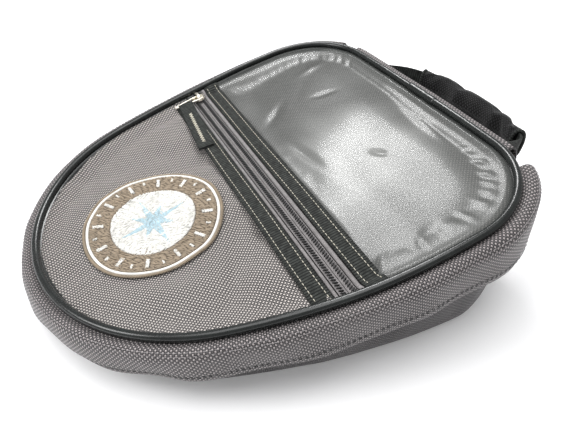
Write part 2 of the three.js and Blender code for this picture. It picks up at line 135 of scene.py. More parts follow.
corner_centre = circle_crossing(
    side_centre, SIDE_RADIUS - CORNER_RADIUS, rear_centre, REAR_RADIUS - CORNER_RADIUS)
TIP_TO_SIDE = bearing(side_centre, tip_centre)
SIDE_TO_CORNER = bearing(side_centre, corner_centre)
CORNER_TO_REAR = bearing(rear_centre, corner_centre)
ARCS = [
    (-90.0, TIP_TO_SIDE, tip_centre, TIP_RADIUS),
    (TIP_TO_SIDE, SIDE_TO_CORNER, side_centre, SIDE_RADIUS),
    (SIDE_TO_CORNER, CORNER_TO_REAR, corner_centre, CORNER_RADIUS),
    (CORNER_TO_REAR, 90.0, rear_centre, REAR_RADIUS),
]


def rim_point(angle):
    """x, v and the outward normal at one angle. Beyond 90 or below -90 is the left side."""
    if angle > 90 or angle < -90:
        x, v, nx, nv = rim_point((180 if angle > 90 else -180) - angle)
        return -x, v, -nx, nv
    for _, end, centre, radius in ARCS:
        if angle <= end + 1e-9:
            break
    nx, nv = math.cos(math.radians(angle)), math.sin(math.radians(angle))
    return centre[0] + radius * nx, centre[1] + radius * nv, nx, nv


def arc_table():
    """Angle against length round the rim, from -270 to 270 degrees."""
    knots = [(start, end, radius) for start, end, _, radius in ARCS]
    mirrored = [(180 - end, 180 - start, radius) for start, end, radius in reversed(knots)]
    turn = knots + mirrored
    whole = [(s - 360, e - 360, r) for s, e, r in turn] + turn
    angles, lengths = [whole[0][0]], [0.0]
    for start, end, radius in whole:
        angles.append(end)
        lengths.append(lengths[-1] + math.radians(end - start) * radius)
    return np.array(angles), np.array(lengths)


TABLE_ANGLE, TABLE_LENGTH = arc_table()


def run(start, end, spacing):
    """Stations from one angle to another at an even spacing, as columns x, v, nx, nv, length."""
    low, high = np.interp([start, end], TABLE_ANGLE, TABLE_LENGTH)
    count = max(3, int(round((high - low) / spacing)) + 1)
    lengths = np.linspace(low, high, count)
    angles = np.interp(lengths, TABLE_LENGTH, TABLE_ANGLE)
    return np.array([(*rim_point(a), s) for a, s in zip(angles, lengths)])


def around(spacing):
    """Stations all the way round, without the repeated last one."""
    return run(-90, 270, spacing)[:-1]


def lid_point(x, v, n, soft=1.0):
    """Shared-frame place of a point in the lid's frame. soft is how much it leans with the rim."""
    x, v, n = np.broadcast_arrays(x, v, n)
    lean = soft * np.sin(math.pi * np.clip((v + HALF) / RIM_LENGTH, 0, 1)) ** 2
    drop = lean * np.clip(x / 140.0, 0, 1) ** 2
    return np.stack([
        x + LEAN * lean,
        v * math.cos(PITCH) - n * math.sin(PITCH),
        RIM_HEIGHT + v * math.sin(PITCH) + n * math.cos(PITCH) - DROP * drop,
    ], axis=-1).astype(float)


LID_UP = np.array([0.0, -math.sin(PITCH), math.cos(PITCH)])


def on_rim(stations, out, n):
    """Points at an outward offset and a height square to the lid."""
    return lid_point(stations[:, 0] + stations[:, 2] * out, stations[:, 1] + stations[:, 3] * out, n)


def plumb(stations, out, n):
    """The same, but plumb below the rim."""
    return on_rim(stations, out + n * math.tan(PITCH) * stations[:, 3], n)


def flap_place(stations, out, n):
    """Plumb round the tip, square to the lid towards the handle."""
    lean = n * math.tan(PITCH) * np.minimum(stations[:, 3], 0)
    return on_rim(stations, out + lean, n)


def on_floor(stations, out, z):
    """Points near the floor, which draws in further under the tip."""
    offset = out - TIP_TUCK * ((HALF - stations[:, 1]) / RIM_LENGTH) ** 2
    return np.stack([
        stations[:, 0] + stations[:, 2] * offset,
        (stations[:, 1] + stations[:, 3] * offset) * math.cos(PITCH),
        np.broadcast_to(z, len(stations)),
    ], axis=-1).astype(float)


OUTLINE = around(2.0)[:, :2]


def rim_distance(x, v):
    """Distance from points on the lid to the rim's outline."""
    points = np.stack([np.ravel(x), np.ravel(v)], axis=1)
    nearest = np.empty(len(points))
    for start in range(0, len(points), 4000):
        part = points[start:start + 4000]
        gaps = part[:, None, :] - OUTLINE[None, :, :]
        nearest[start:start + 4000] = np.sqrt((gaps ** 2).sum(2).min(1))
    return nearest.reshape(np.shape(x))


def smooth(t):
    t = np.clip(t, 0, 1)
    return t * t * (3 - 2 * t)


def ripple(x, y, size, seed):
    """Gentle seeded unevenness between about -1 and 1, with features of the given size."""
    random = np.random.default_rng(seed)
    total = np.zeros(np.shape(x))
    for _ in range(7):
        turn, phase = random.uniform(0, 2 * math.pi, 2)
        pitch = size * random.uniform(0.7, 1.6)
        wave = (np.cos(turn) * x + np.sin(turn) * y) * 2 * math.pi / pitch
        total = total + np.sin(wave + phase)
    return total / 3.2


def lid_height(x, v):
    """Height of the sagging lid: it drops quickly inside the piping, then slowly to the middle.

    The pocket's zip holds it level along its own line."""
    distance = rim_distance(x, v)
    free = 1 - 0.95 * np.exp(-((v - ZIP_V) / 24) ** 2)
    return -1.6 - 4.0 * smooth((distance - 1) / 9) - 3.6 * smooth(distance / 90) * free


# ---- meshes ----

def add_object(name, data):
    piece = bpy.data.objects.new(name, data)
    bpy.context.scene.collection.objects.link(piece)
    return piece


def new_piece(name, points, faces, material, uv=None, smooth_shading=True):
    """A mesh object from points in millimetres. uv is one pair per point, in millimetres of cloth."""
    mesh = bpy.data.meshes.new(name)
    mesh.from_pydata((np.asarray(points) * MM).tolist(), [], [tuple(f) for f in faces])
    if uv is not None:
        layer = mesh.uv_layers.new(name="cloth")
        corners = np.empty(len(mesh.loops), int)
        mesh.loops.foreach_get("vertex_index", corners)
        layer.data.foreach_set("uv", np.asarray(uv, float)[corners].ravel())
    mesh.materials.append(material)
    mesh.validate()
    if smooth_shading:
        mesh.shade_smooth()
    return add_object(name, mesh)


def grid_faces(rows, columns, wrap_rows, wrap_columns=False):
    faces = []
    for i in range(rows if wrap_rows else rows - 1):
        for j in range(columns if wrap_columns else columns - 1):
            a = i * columns + j
            b = i * columns + (j + 1) % columns
            below = ((i + 1) % rows) * columns
            faces.append((a, below + j, below + (j + 1) % columns, b))
    return faces


def capped_faces(rows, columns):
    """Faces of a tube of rings, with both ends closed."""
    first, last = range(columns), range((rows - 1) * columns, rows * columns)
    return grid_faces(rows, columns, False, True) + [tuple(first), tuple(reversed(last))]


def domed_faces(rows, columns):
    """Faces of rings that shrink to one last point."""
    last, tip = (rows - 1) * columns, rows * columns
    fan = [(last + j, tip, last + (j + 1) % columns) for j in range(columns)]
    return grid_faces(rows, columns, False, True) + fan


def spread(rows, columns):
    """Cloth coordinates of a grid from its rows' and its columns' own."""
    return np.stack(np.broadcast_arrays(rows[:, None], columns[None, :]), axis=-1)


def grid_piece(name, points, uv, material, wrap_rows=False):
    """A quad surface from points[row, column]. A wrapped one closes on itself."""
    rows, columns = points.shape[:2]
    faces = grid_faces(rows, columns, wrap_rows)
    return new_piece(name, points.reshape(-1, 3), faces, material, uv.reshape(-1, 2))


def face_outward(piece):
    mesh = bmesh.new()
    mesh.from_mesh(piece.data)
    bmesh.ops.recalc_face_normals(mesh, faces=mesh.faces)
    mesh.to_mesh(piece.data)
    mesh.free()


def face_up(piece, up=1):
    """Turns a sheet's faces upwards, or downwards where up is -1."""
    if piece.data.polygons[0].normal.z * up < 0:
        piece.data.flip_normals()


def thicken(piece, thickness, offset=-1.0):
    """Gives a sheet its thickness, in millimetres, below its face unless offset says otherwise."""
    solid = piece.modifiers.new("thickness", "SOLIDIFY")
    solid.thickness = thickness * MM
    solid.offset = offset
    return piece


def round_edges(piece, width, segments):
    edge = piece.modifiers.new("edges", "BEVEL")
    edge.width = width * MM
    edge.segments = segments
    return edge


def refine(piece):
    modifier = piece.modifiers.new("smooth", "SUBSURF")
    modifier.levels = 1
    modifier.render_levels = 1
    return piece


def lengths_along(path):
    """Length from a path's start to each of its points."""
    return np.concatenate([[0], np.cumsum(np.linalg.norm(np.diff(path, axis=0), axis=1))])


def catmull(points, steps, closed=False):
    """Points evenly spread along a smooth curve through a few."""
    points = np.asarray(points, float)
    if closed:
        padded = np.vstack([points[-1], points, points[0], points[1]])
    else:
        padded = np.vstack([2 * points[0] - points[1], points, 2 * points[-1] - points[-2]])
    dense = []
    for i in range(len(padded) - 3):
        p0, p1, p2, p3 = padded[i:i + 4]
        for t in np.linspace(0, 1, 24, endpoint=False):
            dense.append(0.5 * (2 * p1 + (p2 - p0) * t + (2 * p0 - 5 * p1 + 4 * p2 - p3) * t ** 2
                                + (3 * p1 - p0 - 3 * p2 + p3) * t ** 3))
    dense.append(padded[-2])
    dense = np.array(dense)
    length = lengths_along(dense)
    wanted = np.linspace(0, length[-1], steps, endpoint=not closed)
    return np.stack([np.interp(wanted, length, dense[:, k]) for k in range(dense.shape[1])], axis=1)


def path_frames(path, closed, up):
    """Tangent, side and top directions along a path."""
    after, before = np.roll(path, -1, axis=0), np.roll(path, 1, axis=0)
    if not closed:
        after[-1], before[0] = path[-1], path[0]
    tangent = after - before
    tangent /= np.linalg.norm(tangent, axis=1, keepdims=True)
    side = np.cross(tangent, np.broadcast_to(up, tangent.shape))
    side /= np.linalg.norm(side, axis=1, keepdims=True)
    return tangent, side, np.cross(side, tangent)


def tube_piece(name, path, radius, material, sides, closed=False, up=(0, 0, 1), flatness=1.0):
    """A round or flattened tube along a path, with closed ends. radius may vary along it."""
    path = np.asarray(path, float)
    radius = np.broadcast_to(radius, len(path))
    _, side, top = path_frames(path, closed, up)
    turn = np.linspace(0, 2 * math.pi, sides, endpoint=False)
    rings = (path[:, None, :]
             + (radius[:, None] * np.cos(turn))[:, :, None] * side[:, None, :]
             + (radius[:, None] * np.sin(turn))[:, :, None] * top[:, None, :] * flatness)
    faces = grid_faces(len(path), sides, True, True) if closed else capped_faces(len(path), sides)
    uv = spread(lengths_along(path), turn * np.mean(radius))
    piece = new_piece(name, rings.reshape(-1, 3), faces, material, uv.reshape(-1, 2))
    face_outward(piece)
    return piece


def threads(name, starts, ends, normals, radius, material, arch):
    """Many short raised stitches in one piece, each a small arched capsule."""
    rings, sides = 6, 6
    along = np.linspace(0, 1, rings)
    swell = np.sqrt(np.clip(1 - (2 * along - 1) ** 4, 0.04, 1))
    turn = np.linspace(0, 2 * math.pi, sides, endpoint=False)
    direction = ends - starts
    direction = direction / np.linalg.norm(direction, axis=1, keepdims=True)
    side = np.cross(direction, normals)
    side /= np.linalg.norm(side, axis=1, keepdims=True)
    centre = starts[:, None, :] + (ends - starts)[:, None, :] * along[None, :, None]
    centre = centre + normals[:, None, :] * (np.sin(math.pi * along) * arch)[None, :, None]
    ring = (side[:, None, None, :] * np.cos(turn)[None, None, :, None]
            + normals[:, None, None, :] * np.sin(turn)[None, None, :, None])
    points = centre[:, :, None, :] + ring * (radius * swell)[None, :, None, None]
    faces = []
    for i in range(len(starts)):
        base = i * rings * sides
        faces += [tuple(base + k for k in face) for face in grid_faces(rings, sides, False, True)]
        faces.append(tuple(base + k for k in range(sides)))
        faces.append(tuple(base + (rings - 1) * sides + k for k in reversed(range(sides))))
    flat = points.reshape(-1, 3)
    uv = np.stack([np.tile(np.repeat(along, sides), len(starts)), np.zeros(len(flat))], axis=1)
    piece = new_piece(name, flat, faces, material, uv)
    face_outward(piece)
    return piece


def stitch_line(path, normals, length, gap, lift=0.1):
    """Start points, end points and normals of a row of stitches along a path."""
    distance = lengths_along(path)
    begins = np.arange(gap, distance[-1] - length, length + gap)

    def at(values, where):
        return np.stack([np.interp(where, distance, values[:, k]) for k in range(3)], axis=1)

    up = at(normals, begins + length / 2)
    up /= np.linalg.norm(up, axis=1, keepdims=True)
    return at(path, begins) + up * lift, at(path, begins + length) + up * lift, up


def join_rows(rows):
    """Several rows of stitches as one."""
    return tuple(np.concatenate(part) for part in zip(*rows))


# ---- materials ----

class Shader:
    """A Principled material with short names for the nodes that make a procedural surface."""

    def __init__(self, name, roughness=0.8, metallic=0.0, **settings):
        self.material = bpy.data.materials.new(name)
        self.material.use_nodes = True
        self.tree = self.material.node_tree
        self.surface = self.tree.nodes["Principled BSDF"]
        self.surface.inputs["Roughness"].default_value = roughness
        self.surface.inputs["Metallic"].default_value = metallic
        for key, value in settings.items():
            self.surface.inputs[key.replace("_", " ")].default_value = value

    def node(self, kind, inputs=(), **settings):
        made = self.tree.nodes.new(kind)
        for key, value in settings.items():
            setattr(made, key, value)
        for key, value in dict(inputs).items():
            self.feed(made.inputs[key], value)
        return made

    def feed(self, socket, value):
        if isinstance(value, bpy.types.NodeSocket):
            self.tree.links.new(value, socket)
        else:
            socket.default_value = value

    def math(self, operation, a, b=0.0, c=0.0):
        return self.node("ShaderNodeMath", {0: a, 1: b, 2: c}, operation=operation).outputs[0]

    def cloth(self):
        """Cloth coordinates in millimetres."""
        place = self.node("ShaderNodeUVMap", uv_map="cloth").outputs[0]
        split = self.node("ShaderNodeSeparateXYZ", {0: place})
        return place, split.outputs[0], split.outputs[1]

    def noise(self, vector, scale, detail):
        settings = {"Vector": vector, "Scale": scale, "Detail": detail}
        return self.node("ShaderNodeTexNoise", settings).outputs[0]

    def stretch(self, vector, scale):
        return self.node("ShaderNodeMapping", {"Vector": vector, "Scale": scale}).outputs[0]

    def blend(self, factor, a, b):
        made = self.node("ShaderNodeMix", data_type="RGBA")
        self.feed(made.inputs[0], factor)
        self.feed(made.inputs[6], a)
        self.feed(made.inputs[7], b)
        return made.outputs[2]

    def between(self, value, low, high, new_low=0.0, new_high=1.0):
        made = self.node("ShaderNodeMapRange", {
            "Value": value, "From Min": low, "From Max": high, "To Min": new_low, "To Max": new_high})
        return made.outputs[0]

    def finish(self, colour=None, height=None, depth=0.2, strength=1.0, roughness=None):
        """Links colour, roughness and a bump whose full height is depth millimetres."""
        if colour is not None:
            self.feed(self.surface.inputs["Base Color"], colour)
        if roughness is not None:
            self.feed(self.surface.inputs["Roughness"], roughness)
        if height is not None:
            bump = self.node("ShaderNodeBump", {
                "Height": height, "Distance": depth * MM, "Strength": strength})
            self.tree.links.new(bump.outputs[0], self.surface.inputs["Normal"])
        return self.material


def rgb(red, green, blue):
    return (red, green, blue, 1.0)


def plain_weave(shader, pitch):
    """Height of a plain weave of round yarns, and which yarn is on top."""
    _, x, y = shader.cloth()
    u = shader.math("DIVIDE", x, pitch)
    v = shader.math("DIVIDE", y, pitch)
    bump_u = shader.math("SINE", shader.math("MULTIPLY", shader.math("FRACT", u), math.pi))
    bump_v = shader.math("SINE", shader.math("MULTIPLY", shader.math("FRACT", v), math.pi))
    steps = shader.math("ADD", shader.math("FLOOR", u), shader.math("FLOOR", v))
    top = shader.math("FLOORED_MODULO", steps, 2.0)

    def yarn(across, along):
        return shader.math("MULTIPLY", across, shader.math("MULTIPLY_ADD", along, 0.75, 0.25))

    warp, weft = yarn(bump_u, bump_v), yarn(bump_v, bump_u)
    height = shader.node("ShaderNodeMix", data_type="FLOAT")
    shader.feed(height.inputs[0], top)
    shader.feed(height.inputs[2], warp)
    shader.feed(height.inputs[3], shader.math("MULTIPLY", weft, 0.55))
    return height.outputs[0], top


def nylon(name, warp, weft, gap, pitch=1.42, depth=0.55, dust=0.06, shine=0.5):
    """Heavy woven nylon: light yarns with painted shade in the gaps between them, a little uneven and dusty.
    """
    shader = Shader(name, roughness=0.45, Sheen_Weight=0.1, Sheen_Roughness=0.5)
    shader.surface.inputs["Specular IOR Level"].default_value = shine
    place, _, _ = shader.cloth()
    height, top = plain_weave(shader, pitch)
    yarns = shader.blend(top, warp, weft)
    strand = shader.noise(shader.stretch(place, (3.2, 3.2, 1)), 1.0, 3.0)
    yarns = shader.blend(shader.between(strand, 0.3, 0.7, 0.0, 0.35), yarns, gap)
    # Painted shade: the colour darkens to the gap colour where the weave is low, between the yarns.
    colour = shader.blend(shader.between(height, 0.28, 0.60), gap, yarns)
    patchy = shader.noise(place, 0.035, 3.0)
    colour = shader.blend(shader.between(patchy, 0.35, 0.7, 0.0, dust), colour, rgb(0.42, 0.40, 0.38))
    return shader.finish(colour, height, depth)


FINE_THREAD_PITCH = 0.9


def ribbed(name, colour, light, pitch, depth, sheen=0.15):
    """Grosgrain: rounded ribs with fine warp threads between them."""
    shader = Shader(name, roughness=0.75, Sheen_Weight=sheen)
    place, x, y = shader.cloth()
    shader.surface.inputs["Specular IOR Level"].default_value = 0.3
    turn = shader.math("FRACT", shader.math("DIVIDE", x, pitch))
    rib = shader.math("SINE", shader.math("MULTIPLY", turn, math.pi))
    fine = shader.math("SINE", shader.math("MULTIPLY", y, 2 * math.pi / FINE_THREAD_PITCH))
    height = shader.math("MULTIPLY_ADD", fine, 0.12, rib)
    worn = shader.noise(place, 0.25, 4.0)
    tint = shader.blend(shader.between(worn, 0.35, 0.75), colour, light)
    shade = shader.blend(shader.between(height, 0.1, 0.8), rgb(0.004, 0.004, 0.005), tint)
    return shader.finish(shade, height, depth)


def glossy_vinyl():
    shader = Shader("black_vinyl", roughness=0.26)
    place, _, _ = shader.cloth()
    grain = shader.noise(place, 0.9, 4.0)
    slow = shader.noise(place, 0.08, 2.0)
    colour = shader.blend(
        shader.between(slow, 0.3, 0.7), rgb(0.004, 0.005, 0.005), rgb(0.010, 0.013, 0.012))
    rough = shader.between(grain, 0.3, 0.7, 0.20, 0.32)
    return shader.finish(colour, grain, 0.05, 0.5, rough)


# Middle and size, in cloth millimetres, of the painted reflection of the window lamp on the film.
PAINTED_REFLECTION_X, PAINTED_REFLECTION_V = 32.0, 76.0
PAINTED_REFLECTION_HALF_WIDTH, PAINTED_REFLECTION_HALF_LENGTH = 52.0, 48.0


def clear_vinyl():
    """A thin clear film: a soft broad gloss, a crisper one over it, a milky haze, and a faint painted
    reflection of the window lamp, a lighter patch round its middle.
    """
    shader = Shader("clear_vinyl", roughness=0.32, IOR=1.6, Coat_Weight=0.15, Coat_Roughness=0.12,
                    Coat_IOR=1.6)
    shader.surface.inputs["Specular IOR Level"].default_value = 0.45
    place, x, v = shader.cloth()
    milky = shader.noise(place, 0.018, 2.0)
    streaks = shader.noise(place, 0.022, 1.0)

    def off_middle(along, middle, half):
        share = shader.math("MULTIPLY_ADD", along, 1 / half, -middle / half)
        return shader.math("POWER", shader.math("ABSOLUTE", share), 2.0)

    off_x = off_middle(x, PAINTED_REFLECTION_X, PAINTED_REFLECTION_HALF_WIDTH)
    off_v = off_middle(v, PAINTED_REFLECTION_V, PAINTED_REFLECTION_HALF_LENGTH)
    uneven = shader.between(streaks, 0.3, 0.7, -0.5, 0.5)
    spread = shader.between(shader.math("ADD", shader.math("ADD", off_x, off_v), uneven), 2.2, 0.0, 0.0, 1.0)
    # Painted reflection: the film's colour and cover rise towards the middle of the lamp's reflection, with
    # an uneven edge.
    painted_reflection = shader.math("POWER", spread, 1.6)
    white = shader.blend(painted_reflection, rgb(0.13, 0.135, 0.13), rgb(0.30, 0.305, 0.295))
    facing = shader.node("ShaderNodeLayerWeight", {"Blend": 0.5}).outputs["Facing"]
    rim_gloss = shader.math("POWER", facing, 6.0)
    haze = shader.between(milky, 0.35, 0.65, 0.27, 0.36)
    haze_and_painted_reflection = shader.math("MULTIPLY_ADD", painted_reflection, 0.12, haze)
    cover = shader.math("MINIMUM", shader.math("MULTIPLY_ADD", rim_gloss, 0.2, haze_and_painted_reflection), 0.8)
    clear = shader.node("ShaderNodeBsdfTransparent", {"Color": rgb(0.97, 0.975, 0.97)})
    mixed = shader.node("ShaderNodeMixShader", {0: cover})
    shader.tree.links.new(clear.outputs[0], mixed.inputs[1])
    shader.tree.links.new(shader.surface.outputs[0], mixed.inputs[2])
    shader.tree.links.new(mixed.outputs[0], shader.tree.nodes["Material Output"].inputs["Surface"])
    return shader.finish(white)


def thread(name, colour):
    shader = Shader(name, roughness=0.6, Sheen_Weight=0.2)
    place = shader.node("ShaderNodeTexCoord").outputs["Object"]
    twist = shader.noise(place, 3000.0, 1.0)
    shade = tuple(0.55 * part for part in colour[:3]) + (1.0,)
    patchy = shader.noise(place, 160.0, 3.0)
    mixed = shader.math("MULTIPLY", shader.math("ADD", twist, patchy), 0.5)
    tint = shader.blend(shader.between(mixed, 0.35, 0.65, 0.0, 0.8), colour, shade)
    return shader.finish(tint, twist, 0.05)


def cast_metal():
    shader = Shader("zip_metal", roughness=0.24, metallic=1.0)
    place = shader.node("ShaderNodeTexCoord").outputs["Object"]
    worn = shader.noise(place, 420.0, 4.0)
    colour = shader.blend(shader.between(worn, 0.4, 0.7), rgb(0.92, 0.88, 0.79), rgb(0.66, 0.61, 0.52))
    return shader.finish(colour, worn, 0.05, 0.6, shader.between(worn, 0.35, 0.7, 0.16, 0.38))


def moulded(name, colour, light, roughness, scale=900.0):
    shader = Shader(name, roughness=roughness)
    place = shader.node("ShaderNodeTexCoord").outputs["Object"]
    grain = shader.noise(place, scale, 3.0)
    tint = shader.blend(shader.between(grain, 0.35, 0.7, 0.0, 0.6), colour, light)
    return shader.finish(tint, grain, 0.06)


def studded():
    """Anti-slip base cloth: a close grid of small rubber dots."""
    shader = Shader("grip_base", roughness=0.85)
    _, x, y = shader.cloth()
    pitch = 3.5
    across = shader.math("SINE", shader.math("MULTIPLY", x, 2 * math.pi / pitch))
    along = shader.math("SINE", shader.math("MULTIPLY", y, 2 * math.pi / pitch))
    dots = shader.between(shader.math("MULTIPLY", across, along), 0.25, 0.6)
    colour = shader.blend(dots, rgb(0.018, 0.018, 0.019), rgb(0.045, 0.045, 0.046))
    return shader.finish(colour, dots, 0.4)


# Colour of the painted shade in the gaps of the weave.
DARK = rgb(0.010, 0.009, 0.010)
GREY_NYLON = nylon("grey_nylon", rgb(0.74, 0.68, 0.64), rgb(0.22, 0.195, 0.19), DARK)
# Painted shade: the same nylon as the top, darker, for the flap and the rear wall on the bag's steep sides.
SIDE_SHADE_NYLON = nylon("side_shade_nylon", rgb(0.46, 0.41, 0.41), rgb(0.12, 0.105, 0.11), DARK)
POCKET_NYLON = nylon("pocket_nylon", rgb(0.35, 0.32, 0.31), rgb(0.045, 0.04, 0.04), DARK, depth=0.3,
                     shine=0.0)
# Painted shade: the same nylon once more, much darker, for the gusset and the lid band that lie in the shade
# under the flap.
UNDER_FLAP_SHADE_NYLON = nylon("under_flap_shade_nylon", rgb(0.17, 0.15, 0.158), rgb(0.03, 0.026, 0.028), DARK)
LINING = nylon("lining", rgb(0.07, 0.07, 0.075), rgb(0.055, 0.055, 0.06), DARK, 0.8, 0.12, 0.03)
BINDING = ribbed("black_webbing", rgb(0.012, 0.014, 0.012), rgb(0.050, 0.055, 0.050), 2.1, 0.6, sheen=0.0)
GRIP_CLOTH = nylon("grip_cloth", rgb(0.030, 0.030, 0.032), rgb(0.010, 0.010, 0.011),
                   rgb(0.001, 0.001, 0.001), 1.5, 0.5, 0.0, 0.12)
ZIP_TAPE = ribbed("grey_zip_tape", rgb(0.06, 0.056, 0.058), rgb(0.12, 0.11, 0.11), 0.8, 0.12)
TAPE_RIDGE = ribbed("zip_tape_ridge", rgb(0.24, 0.225, 0.225), rgb(0.34, 0.32, 0.32), 0.7, 0.1)
DARK_TAPE = ribbed("dark_zip_tape", rgb(0.014, 0.014, 0.015), rgb(0.035, 0.035, 0.035), 0.8, 0.12)
PIPING = glossy_vinyl()
WINDOW = clear_vinyl()
COIL = moulded("zip_coil", rgb(0.006, 0.006, 0.007), rgb(0.018, 0.018, 0.018), 0.5)
METAL = cast_metal()
CREAM_THREAD = thread("cream_thread", rgb(0.62, 0.585, 0.48))
GREY_THREAD = thread("grey_thread", rgb(0.30, 0.28, 0.285))
DARK_THREAD = thread("dark_thread", rgb(0.022, 0.022, 0.024))
TAUPE_THREAD = thread("taupe_thread", rgb(0.36, 0.285, 0.20))
TAUPE_GROUND = thread("taupe_ground", rgb(0.15, 0.112, 0.075))
WHITE_THREAD = thread("white_thread", rgb(0.90, 0.89, 0.85))
WHITE_GROUND = thread("white_ground", rgb(0.66, 0.65, 0.61))
BLUE_THREAD = thread("blue_thread", rgb(0.50, 0.68, 0.76))
BASE_GRIP = studded()
BOARD = moulded("stiffener_board", rgb(0.020, 0.020, 0.022), rgb(0.05, 0.05, 0.052), 0.7, 250.0)
FOAM = moulded("foam", rgb(0.10, 0.10, 0.11), rgb(0.18, 0.18, 0.19), 0.95, 500.0)
MAGNET_STEEL = moulded("magnet_steel", rgb(0.42, 0.42, 0.44), rgb(0.58, 0.58, 0.60), 0.35, 300.0)


def settle(piece, pinned, frames, shrink, bending, reach, gravity=0.0, pressure=0.0, stiffness=15.0):
    """Cloth simulation, applied to the mesh. pinned is a weight from 0 to 1 for each point.

    A negative shrink leaves the cloth too large for its frame, so it buckles. No point moves further
    than reach millimetres."""
    count = len(piece.data.vertices)
    before = np.empty(count * 3)
    piece.data.vertices.foreach_get("co", before)
    group = piece.vertex_groups.new(name="pinned")
    for index, weight in enumerate(pinned):
        if weight > 0:
            group.add([index], float(weight), "REPLACE")
    modifier = piece.modifiers.new("settle", "CLOTH")
    cloth = modifier.settings
    cloth.vertex_group_mass = "pinned"
    cloth.quality = 6
    cloth.mass = 0.3
    cloth.shrink_min = shrink
    cloth.shrink_max = shrink
    cloth.tension_stiffness = stiffness
    cloth.compression_stiffness = stiffness
    cloth.shear_stiffness = stiffness / 2
    cloth.bending_stiffness = bending
    cloth.air_damping = 4.0
    cloth.effector_weights.gravity = gravity
    if pressure:
        cloth.use_pressure = True
        cloth.uniform_pressure_force = pressure
    scene = bpy.context.scene
    scene.frame_start = 1
    scene.frame_end = frames
    modifier.point_cache.frame_start = 1
    modifier.point_cache.frame_end = frames
    for number in range(1, frames + 1):
        scene.frame_set(number)
    evaluated = piece.evaluated_get(bpy.context.evaluated_depsgraph_get())
    after = np.empty(count * 3)
    evaluated.data.vertices.foreach_get("co", after)
    move = (after - before).reshape(-1, 3)
    size = np.linalg.norm(move, axis=1, keepdims=True)
    limit = reach * MM
    move *= np.minimum(1, limit / np.maximum(size, 1e-9))
    piece.modifiers.remove(modifier)
    piece.vertex_groups.remove(group)
    piece.data.vertices.foreach_set("co", before + move.ravel())
    piece.data.update()
    scene.frame_set(1)
    return piece


def place(piece, body, slot_name, *nodes):
    """Rides on a body and stands for CAD nodes, which it hides. slot_name is not used."""
    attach(piece, body)
    if nodes:
        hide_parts(*nodes)
    return piece


def cut_from_cloth(piece, held, *rests_on):
    """Reads a sheet's cloth coordinates, in metres, and does nothing more with them."""
    data = piece.data
    spots = np.empty(len(data.loops) * 2)
    data.uv_layers["cloth"].data.foreach_get("uv", spots)
    spots = spots.reshape(-1, 2) * MM


# ---- lid panels ----

def fan_panel(centre, edge, rings, height, name, material):
    """A panel as rings that shrink from its edge to a centre point, closer together near the edge."""
    share = 1 - np.linspace(0, 1, rings) ** 0.8
    share = share[:-1]
    plan = centre + share[:, None, None] * (edge[None, :, :] - centre)
    columns = len(edge)
    flat = np.vstack([plan.reshape(-1, 2), centre])
    points = lid_point(flat[:, 0], flat[:, 1], height(flat[:, 0], flat[:, 1]))
    piece = new_piece(name, points, domed_faces(len(share), columns), material, flat)
    face_outward(piece)
    face_up(piece)
    weights = np.zeros(len(flat))
    weights[:columns] = 1
    return piece, weights


def panel_edge(rim_stations, inset, line_v):
    """The rim, drawn in, closed by a straight edge across the lid at one v."""
    rim = rim_stations[:, :2] - rim_stations[:, 2:4] * inset
    first, last = rim[0], rim[-1]
    count = int(abs(first[0] - last[0]) / 3)
    line = np.linspace(last[0], first[0], count)[1:-1]
    return np.vstack([rim, np.stack([line, np.full(len(line), line_v)], axis=1)])


def angle_at(v, inset):
    """Angle of the rim station whose inset point lies at v, on the right side."""
    stations = run(-90, 85, 0.5)
    values = stations[:, 1] - stations[:, 3] * inset
    s = np.interp(v, values, stations[:, 4])
    return np.interp(s, TABLE_LENGTH, TABLE_ANGLE)


def nose_height(x, v):
    """The nose cloth: shallow dents, two folds, gathers along the zip and a tilt under the patch."""
    line_v = ZIP_V - BINDING_INNER - UNDER_BINDING
    near_zip = smooth((line_v - v) / 14)
    inside = smooth(rim_distance(x, v) / 25)
    dents = 1.1 * ripple(x, v, 75, 3) + 0.4 * ripple(x, v, 28, 8)
    fold = 2.2 * np.exp(-((v + 0.42 * (x - 70) + 40) / 8) ** 2)
    fold = fold * smooth((x - 20) / 30) * smooth((125 - x) / 30)
    second = 1.4 * np.exp(-((v + 0.9 * (x - 60) + 22) / 7) ** 2)
    second = second * smooth((x - 30) / 20) * smooth((90 - x) / 20)
    gather = 0.45 * np.sin(x / 3.1 + 1.4 * np.sin(x / 17)) * np.exp(-((ZIP_V - BINDING_OUTER - v) / 7) ** 2)
    off_x, off_v = x - PATCH_X, v - PATCH_V
    near_patch = 1 - smooth((np.hypot(off_x, off_v) - PATCH_RADIUS + 8) / 32)
    lean = NOSE_TILT * (TILT_X * off_x + TILT_V * off_v) * near_patch
    return lid_height(x, v) + (dents - fold - second - lean) * inside * near_zip + gather * inside


def nose_cloth():
    inset, line_v = 1.6, ZIP_V - BINDING_INNER - UNDER_BINDING
    end = angle_at(line_v, inset)
    edge = panel_edge(run(-180 - end, end, 3.0), inset, line_v)
    piece, pins = fan_panel(np.array([PATCH_X, PATCH_V]), edge, 46, nose_height, "nose_cloth", GREY_NYLON)
    settle(piece, pins, frames=12, shrink=-0.004, gravity=0.5, bending=4.0, reach=1.2)
    cut_from_cloth(piece, "stretched", "piping")
    thicken(piece, CLOTH_THICKNESS)
    return place(piece, "lid", "grey_nylon", "nose_panel")


def pocket_shape(inset, line_v, spacing):
    start = angle_at(line_v, inset)
    stations = run(start, 180 - start, spacing)
    return panel_edge(stations, inset, line_v)


def pocket_height(x, v):
    inside = smooth(rim_distance(x, v) / 20)
    low = 1.8 + 2.4 * (1 - smooth((v - ZIP_V - 9) / 12))
    return lid_height(x, v) - 0.9 - low * inside + 0.5 * ripple(x, v, 60, 21) * inside


